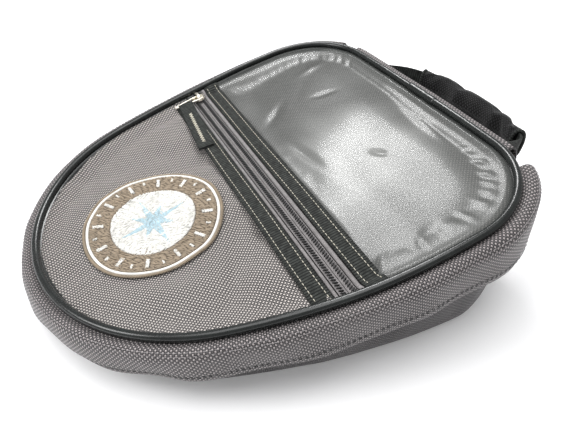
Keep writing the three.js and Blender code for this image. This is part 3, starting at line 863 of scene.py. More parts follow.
def pocket_cloth():
    edge = pocket_shape(1.8, ZIP_V - 7, 4.0)
    piece, _ = fan_panel(np.array([0.0, 82.0]), edge, 34, pocket_height, "pocket_cloth", POCKET_NYLON)
    cut_from_cloth(piece, "stretched", "piping")
    thicken(piece, CLOTH_THICKNESS)
    return place(piece, "lid", "grey_nylon", "pocket_floor")


# Small dents in the film: x, v, half length, half width, turn in degrees and depth in millimetres.
# A negative depth is a ridge.
FILM_DENTS = [
    (-60.0, 50.0, 16.0, 3.6, -50.0, 1.3),
    (2.7, 47.5, 17.0, 3.8, 8.0, 1.4),
    (36.4, 92.4, 6.0, 2.8, 40.0, 1.2),
    (-57.4, 98.9, 9.0, 2.6, 75.0, 0.9),
    (25.8, 138.4, 22.0, 3.6, -6.0, -1.3),
    (-103.0, 112.0, 3.6, 14.0, 10.0, -1.1),
    (134.6, 92.0, 3.0, 9.0, 20.0, -0.9),
    (124.0, 58.0, 3.4, 10.0, 35.0, -0.9),
]


def film_dents(x, v):
    total = np.zeros(np.shape(x))
    for centre_x, centre_v, long, wide, turn, depth in FILM_DENTS:
        c, q = math.cos(math.radians(turn)), math.sin(math.radians(turn))
        along = (x - centre_x) * c + (v - centre_v) * q
        aside = (v - centre_v) * c - (x - centre_x) * q
        total -= depth * np.exp(-(along / long) ** 2 - (aside / wide) ** 2)
    return total


def film_height(x, v):
    """The film lies under the binding, then swells in a few broad soft buckles."""
    free = v - ZIP_V - BINDING_OUTER
    distance = np.minimum(rim_distance(x, v), free)
    inside = smooth(distance / 24)
    buckle = 1.8 * np.sin((0.8 * x + 0.6 * v) / 30 + 0.6) * np.exp(-((v - 75) / 55) ** 2)
    swell = 1.8 * smooth(distance / 40) + buckle * inside + 0.6 * ripple(x, v, 95, 33) * inside
    edge_fold = np.exp(-((distance - 5) / 5) ** 2) * smooth((free + 2) / 6)
    around_rim = np.arctan2(v - 82, x) * 105
    pucker = 0.2 * np.maximum(0, ripple(around_rim, distance * 0.25, 26, 12)) * edge_fold
    open_film = lid_height(x, v) + 0.35 + swell + pucker + film_dents(x, v) * inside
    return open_film + (zip_height(x) - 0.35 - open_film) * (1 - smooth((free + 1.5) / 5))


def window_vinyl():
    """Clear window: a little too large for its frame, so it buckles along the edges."""
    edge = pocket_shape(2.6, ZIP_V + BINDING_INNER + UNDER_BINDING, 2.2)
    piece, pins = fan_panel(np.array([0.0, 86.0]), edge, 56, film_height, "window_vinyl", WINDOW)
    settle(piece, pins, frames=10, shrink=-0.0025, gravity=0.2, bending=10.0, stiffness=30, reach=0.9)
    cut_from_cloth(piece, "stretched", "piping")
    thicken(piece, FILM_THICKNESS)
    return place(piece, "lid", "clear_vinyl", "map_window")


def shrinking_rings(edge, rings):
    """Plan points of an outline and smaller copies of it, down to the middle."""
    share = np.linspace(1, 0, rings + 1)[:-1]
    return np.vstack([(share[:, None, None] * edge[None]).reshape(-1, 2), [[0.0, 0.0]]])


FOAM_INSET = 7.5
FOAM_BASE = -18.0


def foam_pad():
    """Closed pad of foam between the lid's cloth and its lining."""
    edge = around(4.0)
    edge = edge[:, :2] - edge[:, 2:4] * FOAM_INSET
    rings, columns = 19, len(edge)
    plan = shrinking_rings(edge, rings)
    x, v = plan[:, 0], plan[:, 1]
    pocket = smooth((v - ZIP_V + 22) / 8)
    top = np.minimum(nose_height(x, v), pocket_height(x, v)) - 1.9 - 1.2 * pocket
    upper = lid_point(x, v, np.maximum(top, FOAM_BASE + 1))
    lower = lid_point(x, v, np.full(len(x), FOAM_BASE))
    count = len(plan)
    faces = domed_faces(rings, columns)
    below = [tuple(count + k for k in reversed(face)) for face in faces]
    sides = [(j, (j + 1) % columns, count + (j + 1) % columns, count + j) for j in range(columns)]
    points, cloth = np.vstack([upper, lower]), np.vstack([plan, plan])
    piece = new_piece("foam_pad", points, faces + below + sides, FOAM, cloth)
    face_outward(piece)
    return place(piece, "lid", "foam", "lid_foam")


# ---- pocket zip ----

def half_width(v, inset):
    stations = run(-90, 89, 1.0)
    return np.interp(v, stations[:, 1] - stations[:, 3] * inset, stations[:, 0] - stations[:, 2] * inset)


def zip_height(x):
    """The lid's height along the zip's own line, so every strip of it lies level across."""
    return lid_height(x, np.full(np.shape(x), ZIP_V))


STRIP_INSET = 2.0


def cross_strip(name, near, far, lift, thickness, material, crown=0.0):
    """A strip across the lid between two distances from the zip's middle."""
    rows, columns = 9, 131
    across = np.linspace(near, far, rows)
    points = np.empty((rows, columns, 3))
    uv = np.empty((rows, columns, 2))
    for i, offset in enumerate(across):
        v = ZIP_V + offset
        x = np.linspace(-1, 1, columns) * half_width(v, STRIP_INSET)
        t = (offset - near) / (far - near)
        wave = 0.12 * np.sin(x / 9.0 + near) * (1 if abs(near) > 8 else 0)
        n = zip_height(x) + lift + crown * math.sin(math.pi * t) + wave
        points[i] = lid_point(x, v, n)
        uv[i] = np.stack([x, np.full(columns, v)], axis=1)
    piece = grid_piece(name, points, uv, material)
    face_up(piece)
    return thicken(piece, thickness)


def chain_side(word, side):
    """Half of the chain: grey tape with slanting black stitches over it."""
    low, high = sorted((side * 0.15, side * 5.3))
    ground = cross_strip(f"{word}_chain_tape", low, high, -1.0, 0.5, TAPE_RIDGE, crown=0.4)
    place(ground, "lid", "grey_zip_tape")
    pitch = 2.3
    width = half_width(ZIP_V, 3.0)
    x = np.arange(-width, width, pitch) + (side > 0) * 0.5 * pitch
    level = zip_height(x) - 0.2
    starts = lid_point(x - 0.8, np.full(len(x), ZIP_V + side * 4.6), level)
    ends = lid_point(x + 0.8, np.full(len(x), ZIP_V + side * 1.3), level)
    ups = np.broadcast_to(LID_UP, starts.shape)
    teeth = threads(f"{word}_zip_teeth", starts, ends, ups, 0.62, COIL, arch=0.4)
    place(teeth, "lid", "zip_coil", f"{word}_zip_coil")


def tape_side(word, side):
    """Zip tape with its rounded ridge, and the binding over it; gives the binding's stitches."""
    low, high = sorted((side * 6.4, side * 18))
    tape = cross_strip(f"{word}_zip_cloth", low, high, -1.4, TAPE_THICKNESS, ZIP_TAPE)
    place(tape, "lid", "grey_zip_tape", f"{word}_zip_tape")
    low, high = sorted((side * BINDING_INNER, side * BINDING_OUTER))
    binding = cross_strip(f"{word}_binding", low, high, 0.7, 0.9, BINDING, crown=0.35)
    place(binding, "lid", "black_webbing", f"{word}_binding_tape")
    ridge_v = ZIP_V + side * 7.2
    x = np.linspace(-1, 1, 160) * (half_width(ridge_v, STRIP_INSET) - 1)
    path = lid_point(x, ridge_v, zip_height(x) - 0.75)
    radius = 1.15 if side < 0 else 1.5
    ridge = tube_piece(f"{word}_tape_ridge", path, radius, TAPE_RIDGE, 10, up=LID_UP, flatness=0.7)
    place(ridge, "lid", "grey_zip_tape")
    rows = []
    for offset in (BINDING_INNER + 2.4, BINDING_OUTER - 3.0):
        v = ZIP_V + side * offset
        x = np.linspace(-1, 1, 200) * (half_width(v, STRIP_INSET) - 3)
        line = lid_point(x, v + 0.2 * np.sin(x / 21), zip_height(x) + 1.0)
        rows.append(stitch_line(line, np.broadcast_to(LID_UP, line.shape), STITCH_LENGTH, STITCH_GAP))
    return rows


def pocket_zip():
    stitches = []
    for word, side in (("front", -1), ("rear", 1)):
        stitches += tape_side(word, side)
        chain_side(word, side)
    rows = threads("binding_stitches", *join_rows(stitches), 0.26, CREAM_THREAD, arch=0.12)
    place(rows, "lid", "patch_thread")
    # A dark strip under the chain: painted shade that shows through the gap between its two rows.
    gap_shade = cross_strip("zip_gap_shade", -6.4, 6.4, -3.5, 0.5, DARK_TAPE)
    place(gap_shade, "lid", "black_webbing")


# ---- sewn patch: a plain compass card ----

def patch_frame(p, q, lift):
    """Shared-frame point of a place on the patch, p and q from its middle."""
    x, v = PATCH_X + p, PATCH_V + q
    return lid_point(x, v, nose_height(x, v) + lift)


def annulus(name, inner, outer, lift, crown, material):
    """A closed raised ring, or a disc where inner is 0, that follows the cloth under it."""
    turns = np.linspace(0, 2 * math.pi, 120, endpoint=False)
    steps = 7
    radii = np.linspace(outer, max(inner, 0.4), steps)
    across = np.linspace(0, 1, steps)
    dome = crown * np.sqrt(np.clip(1 - (2 * across - 1) ** 2, 0, 1)) if inner else crown * smooth(across * 4)
    radii = np.concatenate([radii, radii[[-1, 0]]])
    lifts = np.concatenate([lift + dome, [0.05, 0.05]])
    plan = radii[:, None, None] * np.stack([np.cos(turns), np.sin(turns)], axis=1)
    rings = np.stack([patch_frame(*spots.T, height) for spots, height in zip(plan, lifts)])
    faces = grid_faces(len(rings), len(turns), True, True)
    piece = new_piece(name, rings.reshape(-1, 3), faces, material, plan.reshape(-1, 2))
    face_outward(piece)
    return place(piece, "lid", "patch_thread")


def satin(name, inside, reach, turn, length, spacing, radius, lift, material, seed):
    """Rows of parallel stitches that fill a zone of the patch. inside(p, q) says what the zone covers."""
    random = np.random.default_rng(seed)
    along, aside = np.array([math.cos(turn), math.sin(turn)]), np.array([-math.sin(turn), math.cos(turn)])
    begins, finishes = [], []
    for row in np.arange(-reach, reach, spacing):
        start = -reach - random.uniform(0, length)
        while start < reach:
            size = length * random.uniform(0.75, 1.2)
            sample = start + np.linspace(0, size, 13)
            p = along[0] * sample + aside[0] * row
            q = along[1] * sample + aside[1] * row
            held = sample[inside(p, q)]
            start += size
            if len(held) < 3:
                continue
            bend = random.uniform(-0.35, 0.35, 2)
            begins.append(along * (held[0] - 0.15) + aside * (row + bend[0]))
            finishes.append(along * (held[-1] + 0.15) + aside * (row + bend[1]))
    a, b = np.array(begins), np.array(finishes)
    rise = random.uniform(0, 0.3, len(a))
    starts = patch_frame(a[:, 0], a[:, 1], lift + rise)
    ends = patch_frame(b[:, 0], b[:, 1], lift + rise)
    piece = threads(name, starts, ends, np.broadcast_to(LID_UP, starts.shape), radius, material, arch=0.35)
    return place(piece, "lid", "patch_thread")


CARD_TURN = math.radians(8)
WHITE_RING = (46.4, 48.4)
TAUPE_RING = (31.0, 46.4)
STAR_LONG, STAR_SHORT, STAR_WAIST = 27.5, 17.5, 6.5


def polar(p, q):
    return np.hypot(p, q), np.degrees(np.arctan2(q, p) - CARD_TURN)


def on_tick(p, q):
    """The card's degree marks: long ones every 30 degrees and short ones between them."""
    r, angle = polar(p, q)
    long_mark = (np.abs((angle + 15) % 30 - 15) * r < 75) & (r > 35.5) & (r < 43.5)
    short_mark = (np.abs(angle % 30 - 15) * r < 50) & (r > 40) & (r < 43.5)
    return long_mark | short_mark


def on_star(p, q):
    """An eight-pointed star, long and short points in turn."""
    r, angle = polar(p, q)
    sector = np.floor((angle + 22.5) / 45)
    off = np.radians(np.abs((angle + 22.5) % 45 - 22.5))
    tip = np.where(sector % 2 == 0, STAR_LONG, STAR_SHORT)
    waist = math.radians(22.5)
    edge = tip * STAR_WAIST * math.sin(waist) / (
        tip * np.sin(off) + STAR_WAIST * np.sin(waist - off))
    return r < edge


def patch():
    base = annulus("patch_base", 0.0, 49.5, 0.5, 0.25, TAUPE_GROUND)
    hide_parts("emblem_patch")
    annulus("patch_white_ring", *WHITE_RING, 0.7, 0.65, WHITE_THREAD)
    annulus("patch_card", 0.0, TAUPE_RING[0] - 0.2, 0.75, 0.3, WHITE_GROUND)

    def taupe(p, q):
        r = np.hypot(p, q)
        return (r > TAUPE_RING[0]) & (r < TAUPE_RING[1]) & ~on_tick(p, q)

    def white(p, q):
        return (np.hypot(p, q) < TAUPE_RING[0]) & ~on_star(p, q)

    slant = math.radians(38)
    satin("patch_taupe_satin", taupe, 47, slant, 6.5, 0.85, 0.40, 0.75, TAUPE_THREAD, 4)
    satin("patch_ticks", on_tick, 47, slant + 1.3, 3.2, 0.5, 0.34, 0.95, WHITE_THREAD, 5)
    satin("patch_white_satin", white, 32, math.radians(100), 5.0, 0.62, 0.36, 0.85, WHITE_THREAD, 6)
    satin("patch_star", on_star, 32, math.radians(15), 4.2, 0.6, 0.36, 0.95, BLUE_THREAD, 7)
    overlocked_edge()
    loose_ends()


def overlocked_edge():
    """Close stitches all round the patch's rim."""
    turns = np.linspace(0, 2 * math.pi, 290, endpoint=False)
    inner, outer = PATCH_RADIUS - 2.6, PATCH_RADIUS
    starts = patch_frame(inner * np.cos(turns), inner * np.sin(turns), 0.55)
    ahead = turns + 0.03
    ends = patch_frame(outer * np.cos(ahead), outer * np.sin(ahead), 0.25)
    ups = np.broadcast_to(LID_UP, starts.shape)
    edge = threads("patch_edge", starts, ends, ups, 0.42, TAUPE_THREAD, arch=0.6)
    place(edge, "lid", "patch_thread")


def loose_ends():
    """A few dark thread ends that stick out from under the patch."""
    random = np.random.default_rng(17)
    loose = random.uniform(0, 2 * math.pi, 16)
    tail = random.uniform(2.0, 5.0, 16)
    drift = random.uniform(-0.05, 0.05, 16)
    starts = patch_frame(50.2 * np.cos(loose), 50.2 * np.sin(loose), 0.6)
    far = 50.2 + tail * 0.7
    ends = patch_frame(far * np.cos(loose + drift), far * np.sin(loose + drift), 0.25)
    ups = np.broadcast_to(LID_UP, starts.shape)
    tails = threads("patch_loose_ends", starts, ends, ups, 0.16, DARK_THREAD, 0.5)
    place(tails, "lid", "patch_thread")


# ---- rim ----

def rim_piping():
    stations = around(3.0)
    s = stations[:, 4]
    wave = 0.25 * np.sin(s / 37.0) + 0.15 * np.sin(s / 13.7 + 1)
    path = on_rim(stations, 0.0, wave)
    cord = tube_piece("rim_piping", path, PIPING_RADIUS, PIPING, 16, closed=True, up=LID_UP)
    place(cord, "lid", "black_vinyl", "piping")
    profile = [(-1.2, -1.6), (-2.6, -2.0), (-4.0, -3.1), (-4.8, -4.6)]
    points = np.stack([on_rim(stations, out, n + wave) for out, n in profile], axis=1)
    flange = grid_piece("piping_flange", points, spread(s, np.arange(4.0)), PIPING, wrap_rows=True)
    face_outward(flange)
    refine(thicken(flange, 0.5, 0))
    place(flange, "lid", "black_vinyl")


def piping_joint():
    """Sleeve over the meeting ends of the piping, with a narrow groove where they meet."""
    low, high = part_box("piping_sleeve")
    x = np.linspace(low.x / MM, high.x / MM, 15)
    v = np.sqrt(REAR_RADIUS ** 2 - x ** 2) + rear_centre[1]
    path = lid_point(x, v, 0.0)
    t = np.linspace(0, 1, 15)
    radius = PIPING_RADIUS + 0.75 - 0.45 * np.exp(-((t - 0.62) / 0.04) ** 2)
    radius[0] -= 0.35
    radius[-1] -= 0.35
    piece = tube_piece("piping_joint", path, radius, PIPING, 20)
    refine(piece)
    place(piece, "lid", "black_vinyl", "piping_sleeve")


# ---- swept walls ----

def outward_of(stations):
    return np.stack([stations[:, 2], stations[:, 3], np.zeros(len(stations))], axis=1)


def cloth_uv(stations, points):
    """Cloth coordinates of a wall: length round the rim and depth down the cloth."""
    steps = np.linalg.norm(np.diff(points, axis=1), axis=2)
    depth = np.concatenate([np.zeros((len(points), 1)), np.cumsum(steps, axis=1)], axis=1)
    s = np.broadcast_to(stations[:, 4][:, None], depth.shape)
    return np.stack([s, -depth], axis=-1)


def wall(name, stations, columns, rows, material, shape=None, closed=False):
    """Cloth swept round the rim, through a few columns of points. shape(s, t) moves it in or out."""
    points = np.stack(columns, axis=1)
    points = np.stack([catmull(section, rows) for section in points])
    uv = cloth_uv(stations, points)
    if shape is not None:
        t = np.linspace(0, 1, rows)[None, :]
        points = points + outward_of(stations)[:, None, :] * shape(uv[..., 0], t)[:, :, None]
    piece = grid_piece(name, points, uv, material, wrap_rows=closed)
    middle = piece.data.polygons[len(piece.data.polygons) // 2]
    if middle.normal.dot(middle.center - Vector((0, 0, middle.center.z))) < 0:
        piece.data.flip_normals()
    return piece, points


def hem_depth(stations):
    share = (stations[:, 1] + HALF) / RIM_LENGTH
    return -(HEM_DEPTH_FRONT + (HEM_DEPTH_REAR - HEM_DEPTH_FRONT) * share)


def bend_with_lid(piece):
    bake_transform(piece)
    return piece


def weather_flap():
    """One band of cloth rolled out from the piping, hanging to a turned and stitched hem."""
    stations = run(-180 - FLAP_END, FLAP_END, 3.0)
    hem = hem_depth(stations)
    profile = [
        (1.5, -2.8), (3.6, -2.5), (6.6, -0.9), (9.7, -1.7), (11.7, -5.0), (12.3, -9.5),
        (12.1, (hem - 9.5) * 0.5), (11.2, hem + 6.5), (10.4, hem + 1.4), (9.7, hem),
        (8.6, hem + 0.7), (8.2, hem + 4.5),
    ]

    def shape(s, t):
        folds = 0.7 * ripple(s, t * 30, 62, 41) + 0.35 * ripple(s, t * 20, 23, 42)
        hem_wave = ripple(s, 0 * t, 41, 44) * smooth((t - 0.4) / 0.4)
        to_end = np.minimum(s - stations[0, 4], stations[-1, 4] - s)
        end_swell = 3.2 * np.exp(-(to_end / 45) ** 2) * smooth(t / 0.3) * (1 - 0.7 * t)
        return (folds + hem_wave) * smooth((t - 0.12) / 0.25) + end_swell

    columns = [flap_place(stations, out, n) for out, n in profile]
    piece, points = wall("weather_flap", stations, columns, 40, SIDE_SHADE_NYLON, shape)
    cut_from_cloth(piece, "hung", "piping")
    thicken(piece, 1.1)
    bend_with_lid(piece)
    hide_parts("rain_flap", "rain_flap_end_left", "rain_flap_end_right")
    flap_stitches(points, outward_of(stations))


HEM_ROWS = (29, 27)
TOP_ROWS = (8, 10)


def flap_stitches(points, outward):
    """Two rows of stitches along the flap's hem and two beside the piping."""
    hem_rows = []
    for row in HEM_ROWS:
        path = points[:, row] + outward * 0.2
        hem_rows.append(stitch_line(path, outward, STITCH_LENGTH, 1.0))
    hem_stitches = threads("hem_stitches", *join_rows(hem_rows), 0.22, DARK_THREAD, arch=0.1)
    bend_with_lid(hem_stitches)
    top_rows = []
    for row in TOP_ROWS:
        path = points[:, row]
        inner, outer = points[:, row - 1], points[:, row + 1]
        normal = np.cross(path_frames(path, False, (0, 0, 1))[0], outer - inner)
        normal *= np.sign(normal[:, 2:3])
        normal /= np.linalg.norm(normal, axis=1, keepdims=True)
        top_rows.append(stitch_line(path, normal, STITCH_LENGTH, STITCH_GAP, lift=0.15))
    top_stitches = threads("flap_topstitch", *join_rows(top_rows), 0.2, GREY_THREAD, arch=0.1)
    bend_with_lid(top_stitches)


def lid_side():
    stations = run(-180 - ZIP_END, ZIP_END, 4.0)
    columns = [on_rim(stations, out, n) for out, n in ((0.2, -1.6), (-0.2, -4.5), (-0.3, -8.2))]
    piece, _ = wall("lid_side_cloth", stations, columns, 5, UNDER_FLAP_SHADE_NYLON)
    place(thicken(piece, CLOTH_THICKNESS), "lid", "grey_nylon", "lid_band")


def main_zip():
    """Two tapes and two rows of teeth with a thin gap between them, round the sides and the tip."""
    for body, word, sign, top, tape_end in (
            ("lid", "upper", 1, -4.0, COIL_END),
            ("base", "lower", -1, -19.0, ZIP_END)):
        stations = run(-180 - tape_end, tape_end, 4.0)
        edge = -ZIP_DEPTH + sign * 0.8
        columns = [on_rim(stations, -1.8, n) for n in (top, (top + edge) / 2, edge)]
        tape, _ = wall(f"{word}_main_tape", stations, columns, 4, DARK_TAPE)
        place(thicken(tape, TAPE_THICKNESS), body, "black_webbing", f"{body}_zip_tape")
        teeth = run(-180 - COIL_END, COIL_END, 1.9)
        starts = on_rim(teeth, -0.6, edge + sign * 3.0)
        ends = on_rim(teeth, -0.4, edge + sign * 0.35)
        row = threads(f"{word}_main_teeth", starts, ends, outward_of(teeth), 0.7, COIL, arch=0.5)
        place(row, body, "zip_coil", f"{body}_zip_coil")


def gusset():
    stations = run(-180 - ZIP_END, ZIP_END, 3.0)
    top = -ZIP_DEPTH - 4.1
    section = [(-0.1, 0.0), (1.1, 0.12), (2.0, 0.35), (1.8, 0.65), (0.2, 0.86), (-2.6, 0.97), (-5.0, 1.0)]
    columns = []
    for out, share in section:
        high, low = on_rim(stations, out, top), on_floor(stations, out, 0.6)
        columns.append(high + (low - high) * share)

    def slack(s, t):
        wide = 0.6 * ripple(s, t * 40, 52, 61) * np.sin(math.pi * t)
        return wide + 0.45 * ripple(s, t * 40, 19, 62) * t * (1 - t) * 3

    piece, _ = wall("gusset_cloth", stations, columns, 20, UNDER_FLAP_SHADE_NYLON, slack)
    cut_from_cloth(piece, "hung", "base_cloth")
    place(thicken(piece, CLOTH_THICKNESS), "base", "grey_nylon", "side_gusset")


def rear_cloth():
    stations = run(REAR_END - 0.6, 180.6 - REAR_END, 3.0)
    columns = [plumb(stations, out, n) for out, n in (
        (0.6, -4.3), (3.6, -3.4), (6.8, -1.8), (9.8, -3.2), (11.5, -7.5), (12.0, -14.0), (11.8, -22.0))]
    base, foot = plumb(stations, 8.6, -22.0), on_floor(stations, 8.6, 0.6)
    columns += [base + (foot - base) * share for share in (0.45, 0.8)]
    columns += [on_floor(stations, 2.5, 2.2), on_floor(stations, -4.6, 0.6)]

    def sag(s, t):
        return (1.2 * ripple(s, t * 70, 80, 71) + 0.45 * ripple(s, t * 70, 27, 72)) * np.sin(math.pi * t)

    piece, points = wall("rear_cloth", stations, columns, 40, SIDE_SHADE_NYLON, sag)
    cut_from_cloth(piece, "hung", "base_cloth")
    place(thicken(piece, CLOTH_THICKNESS), "base", "grey_nylon", "rear_wall")
    for word, column in (("right", 0), ("left", -1)):
        seam = tube_piece(f"corner_seam_{word}", points[column][6:], 1.1, DARK_TAPE, 8, up=(1, 0, 0))
        place(seam, "base", "black_webbing")


def base_cloth():
    stations = around(4.0)
    rim = on_floor(stations, -BASE_INSET - 0.6, 0.0)
    rings = 11
    plan = shrinking_rings(rim[:, :2], rings)
    points = np.column_stack([plan, np.zeros(len(plan))])
    piece = new_piece("base_cloth", points, domed_faces(rings, len(rim)), BASE_GRIP, plan)
    face_outward(piece)
    face_up(piece, -1)
    cut_from_cloth(piece, "laid", "base_board")
    place(thicken(piece, 1.6), "base", "grip_base", "base_panel")
    seam = tube_piece("base_seam", on_floor(stations, -5.2, 1.3), 1.2, DARK_TAPE, 8, closed=True)
    place(seam, "base", "black_webbing")


def linings():
    stations = around(4.0)
    high, low = on_rim(stations, -3.4, -25.5), on_floor(stations, -7.2, 9.6)
    middle = on_rim(stations, -2.6, -25.5) * 0.6 + on_floor(stations, -2.6, 9.6) * 0.4
    piece, _ = wall("wall_lining", stations, [high, middle, low], 10, LINING, closed=True)
    cut_from_cloth(piece, "hung", "gusset_cloth")
    place(thicken(piece, LINING_THICKNESS), "base", "lining", "base_lining")
    edge = stations[:, :2] - stations[:, 2:4] * 6.5

    def height(x, v):
        pad = smooth(rim_distance(x, v) / 30)
        return -18.6 - 0.8 * pad + 0.5 * ripple(x, v, 60, 91)

    inner, _ = fan_panel(np.array([0.0, 0.0]), edge, 24, height, "lid_inner_cloth", LINING)
    cut_from_cloth(inner, "stretched", "foam_pad")
    place(thicken(inner, LINING_THICKNESS), "lid", "lining", "lid_lining")


# ---- metal zip sliders ----

def plate(outline, low, high, bevel, name):
    """A flat plate with rounded edges from a closed outline in the slider's own frame."""
    mesh = bmesh.new()
    lower = [mesh.verts.new((x * MM, y * MM, low * MM)) for x, y in outline]
    upper = [mesh.verts.new((x * MM, y * MM, high * MM)) for x, y in outline]
    mesh.faces.new(list(reversed(lower)))
    mesh.faces.new(upper)
    count = len(outline)
    for i in range(count):
        j = (i + 1) % count
        mesh.faces.new((lower[i], lower[j], upper[j], upper[i]))
    data = bpy.data.meshes.new(name)
    mesh.to_mesh(data)
    mesh.free()
    piece = add_object(name, data)
    data.materials.append(METAL)
    data.shade_smooth()
    round_edges(piece, bevel, 3).harden_normals = True
    return piece


def band(name, path, half, thickness, material):
    """A flat strip of metal or webbing that follows a path in x and z, half wide to each side in y."""
    path = np.asarray(path, float)
    tangent = np.gradient(path, axis=0)
    normal = np.stack([-tangent[:, 1], tangent[:, 0]], axis=1)
    normal /= np.linalg.norm(normal, axis=1, keepdims=True)
    outer, inner = path + normal * thickness / 2, path - normal * thickness / 2
    across = np.array([-1, -0.8, 0.8, 1]) * half
    dip = np.array([0.25, 0, 0, 0.25]) * thickness
    rings = []
    for side, sign in ((outer, -1), (inner, 1)):
        face = np.stack([np.stack([side[:, 0] + sign * normal[:, 0] * d, np.full(len(path), y),
                                   side[:, 1] + sign * normal[:, 1] * d], axis=1)
                         for y, d in zip(across, dip)], axis=1)
        rings.append(face if sign < 0 else face[:, ::-1])
    points = np.concatenate(rings, axis=1)
    rows, columns = points.shape[:2]
    uv = spread(lengths_along(path), np.concatenate([across, across[::-1]]))
    piece = new_piece(name, points.reshape(-1, 3), capped_faces(rows, columns), material, uv.reshape(-1, 2))
    face_outward(piece)
    return piece


def map_slider_frame():
    """x along the pocket zip, y across it and z away from the lid, from the chain's middle."""
    origin = Vector(lid_point(SLIDER_X, ZIP_V, CHAIN_N, 0.0) * MM)
    return Matrix.Translation(origin) @ Matrix.Rotation(PITCH, 4, "X")


def main_slider_frame():
    """x along the main zip, y down it and z out of the bag, from the chain's middle."""
    x, v, nx, nv = rim_point(SLIDER_PARK)
    out = -0.75
    origin = Vector(lid_point(x + nx * out, v + nv * out, -ZIP_DEPTH, 0.0) * MM)
    along, down, outward = Vector((nv, -nx, 0)), Vector((0, 0, -1)), Vector((nx, nv, 0))
    basis = Matrix((along, down, outward)).transposed().to_4x4()
    return Matrix.Translation(origin) @ Matrix.Rotation(PITCH, 4, "X") @ basis


PLATE_THICKNESS = 1.2


def slider(name, frame_matrix, body, node, half_chain, rise):
    """Two shield-shaped plates, a post between them and an arched bridge that carries the pull."""
    shield = [(-7, 3.2), (-6.2, 4.9), (-2, 6), (2.5, 5.6), (5.6, 4.2), (7, 1.8)]
    outline = shield + [(x, -y) for x, y in reversed(shield)]
    post = [(-6, 0.5), (-6, -0.5), (-2, -0.5), (-2, 0.5)]
    top = half_chain + PLATE_THICKNESS
    parts = [
        plate(outline, half_chain, top, 0.45, f"{name}_top_plate"),
        plate(outline, -top, -half_chain, 0.45, f"{name}_under_plate"),
        plate(post, -half_chain, half_chain, 0.1, f"{name}_post"),
    ]
    arch = catmull([(-5.2, top - 0.6), (-4.6, top + rise * 0.62), (-2.4, top + rise - 0.45),
                    (1.5, top + rise - 0.45), (4.2, top + rise * 0.6), (5.0, top - 0.6)], 28)
    bridge = band(f"{name}_bridge", arch, 1.5, 0.95, METAL)
    parts.append(bridge)
    for side in (-1, 1):
        lip = [(-5.6, 4.3 * side), (-1.8, 5.3 * side), (2.0, 4.9 * side), (4.6, 3.6 * side)]
        path = catmull([(x, y, half_chain - 0.1) for x, y in lip], 16)
        parts.append(tube_piece(f"{name}_lip_{'left' if side < 0 else 'right'}", path, 0.5, METAL, 8))
    for part in parts:
        part.data.transform(frame_matrix)
        place(part, body, "zip_metal")
    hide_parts(node)


def wire(name, corners, level, radius, frame_matrix, body, node):
    path = catmull([(x, y, level) for x, y in corners], 72, closed=True)
    ring = tube_piece(name, path, radius, METAL, 12, closed=True)
    ring.data.transform(frame_matrix)
    place(ring, body, "zip_metal", node)


def zigzag(start, end, half, count, level):
    """Stitches that go to and fro across a tab, from one distance along it to another."""
    along = np.linspace(start, end, count + 1)
    side = half * (-1) ** np.arange(count + 1)
    points = np.stack([along, side, np.broadcast_to(level(along), along.shape)], axis=1)
    normals = np.tile([[0.0, 0.0, 1.0]], (count, 1))
    return points[:-1], points[1:], normals


def pull_tab(name, bar, level, frame_matrix, body, node, length, half, thickness, turn, droop):
    """Webbing folded round the ring's bar and sewn to itself, sinking a little towards its end."""
    run_out = np.linspace(2.6, length, 26)
    sink = droop * smooth(run_out / (0.5 * length))
    gap = thickness * 0.27
    turn_about = np.linspace(math.pi / 2, 3 * math.pi / 2, 9)
    loop = np.stack([1.15 * np.cos(turn_about), 1.15 * np.sin(turn_about)], axis=1)
    upper = np.stack([run_out, gap - sink], axis=1)
    lower = np.stack([run_out, -gap - sink], axis=1)
    path = np.vstack([upper[::-1], loop, lower])
    tab = band(name, path, half, thickness * 0.5, BINDING)
    at_bar = Matrix.Translation(Vector((bar[0] * MM, bar[1] * MM, level * MM)))
    local = at_bar @ Matrix.Rotation(turn, 4, "Z")
    tab.data.transform(frame_matrix @ local)
    place(tab, body, "black_webbing", node)
    surface = thickness * 0.27 + thickness * 0.25

    def above(along):
        return surface - droop * smooth(along / (0.5 * length)) + 0.12

    rows = zigzag(0.24 * length, 0.9 * length, half * 0.24, int(length / 2.2), above)
    stitches = threads(f"{name}_stitches", *rows, 0.4, CREAM_THREAD, arch=0.15)
    stitches.data.transform(frame_matrix @ local)
    place(stitches, body, "patch_thread")


def pocket_pull():
    frame_matrix = map_slider_frame()
    half_chain = 1.5
    slider("pocket_slider", frame_matrix, "map_slider", "map_slider", half_chain, 3.2)
    level, bar_x, tab_y = half_chain + 2.2, 6.5, -13.8
    corners = [(0, -2.6), (0, 0), (0, 2.4), (1.8, 3.8), (bar_x - 1.5, 3.2), (bar_x, 0.5),
               (bar_x, tab_y + 7.3), (bar_x, tab_y - 6.7), (bar_x - 2, tab_y - 8.2)]
    wire("pocket_ring", corners, level, 0.8, frame_matrix, "map_pull_ring", "map_pull_ring")
    pull_tab("pocket_tab", (bar_x, tab_y), level, frame_matrix, "map_pull_tab", "map_pull_tab",
             length=72, half=6.5, thickness=1.6, turn=math.radians(-5), droop=1.5)


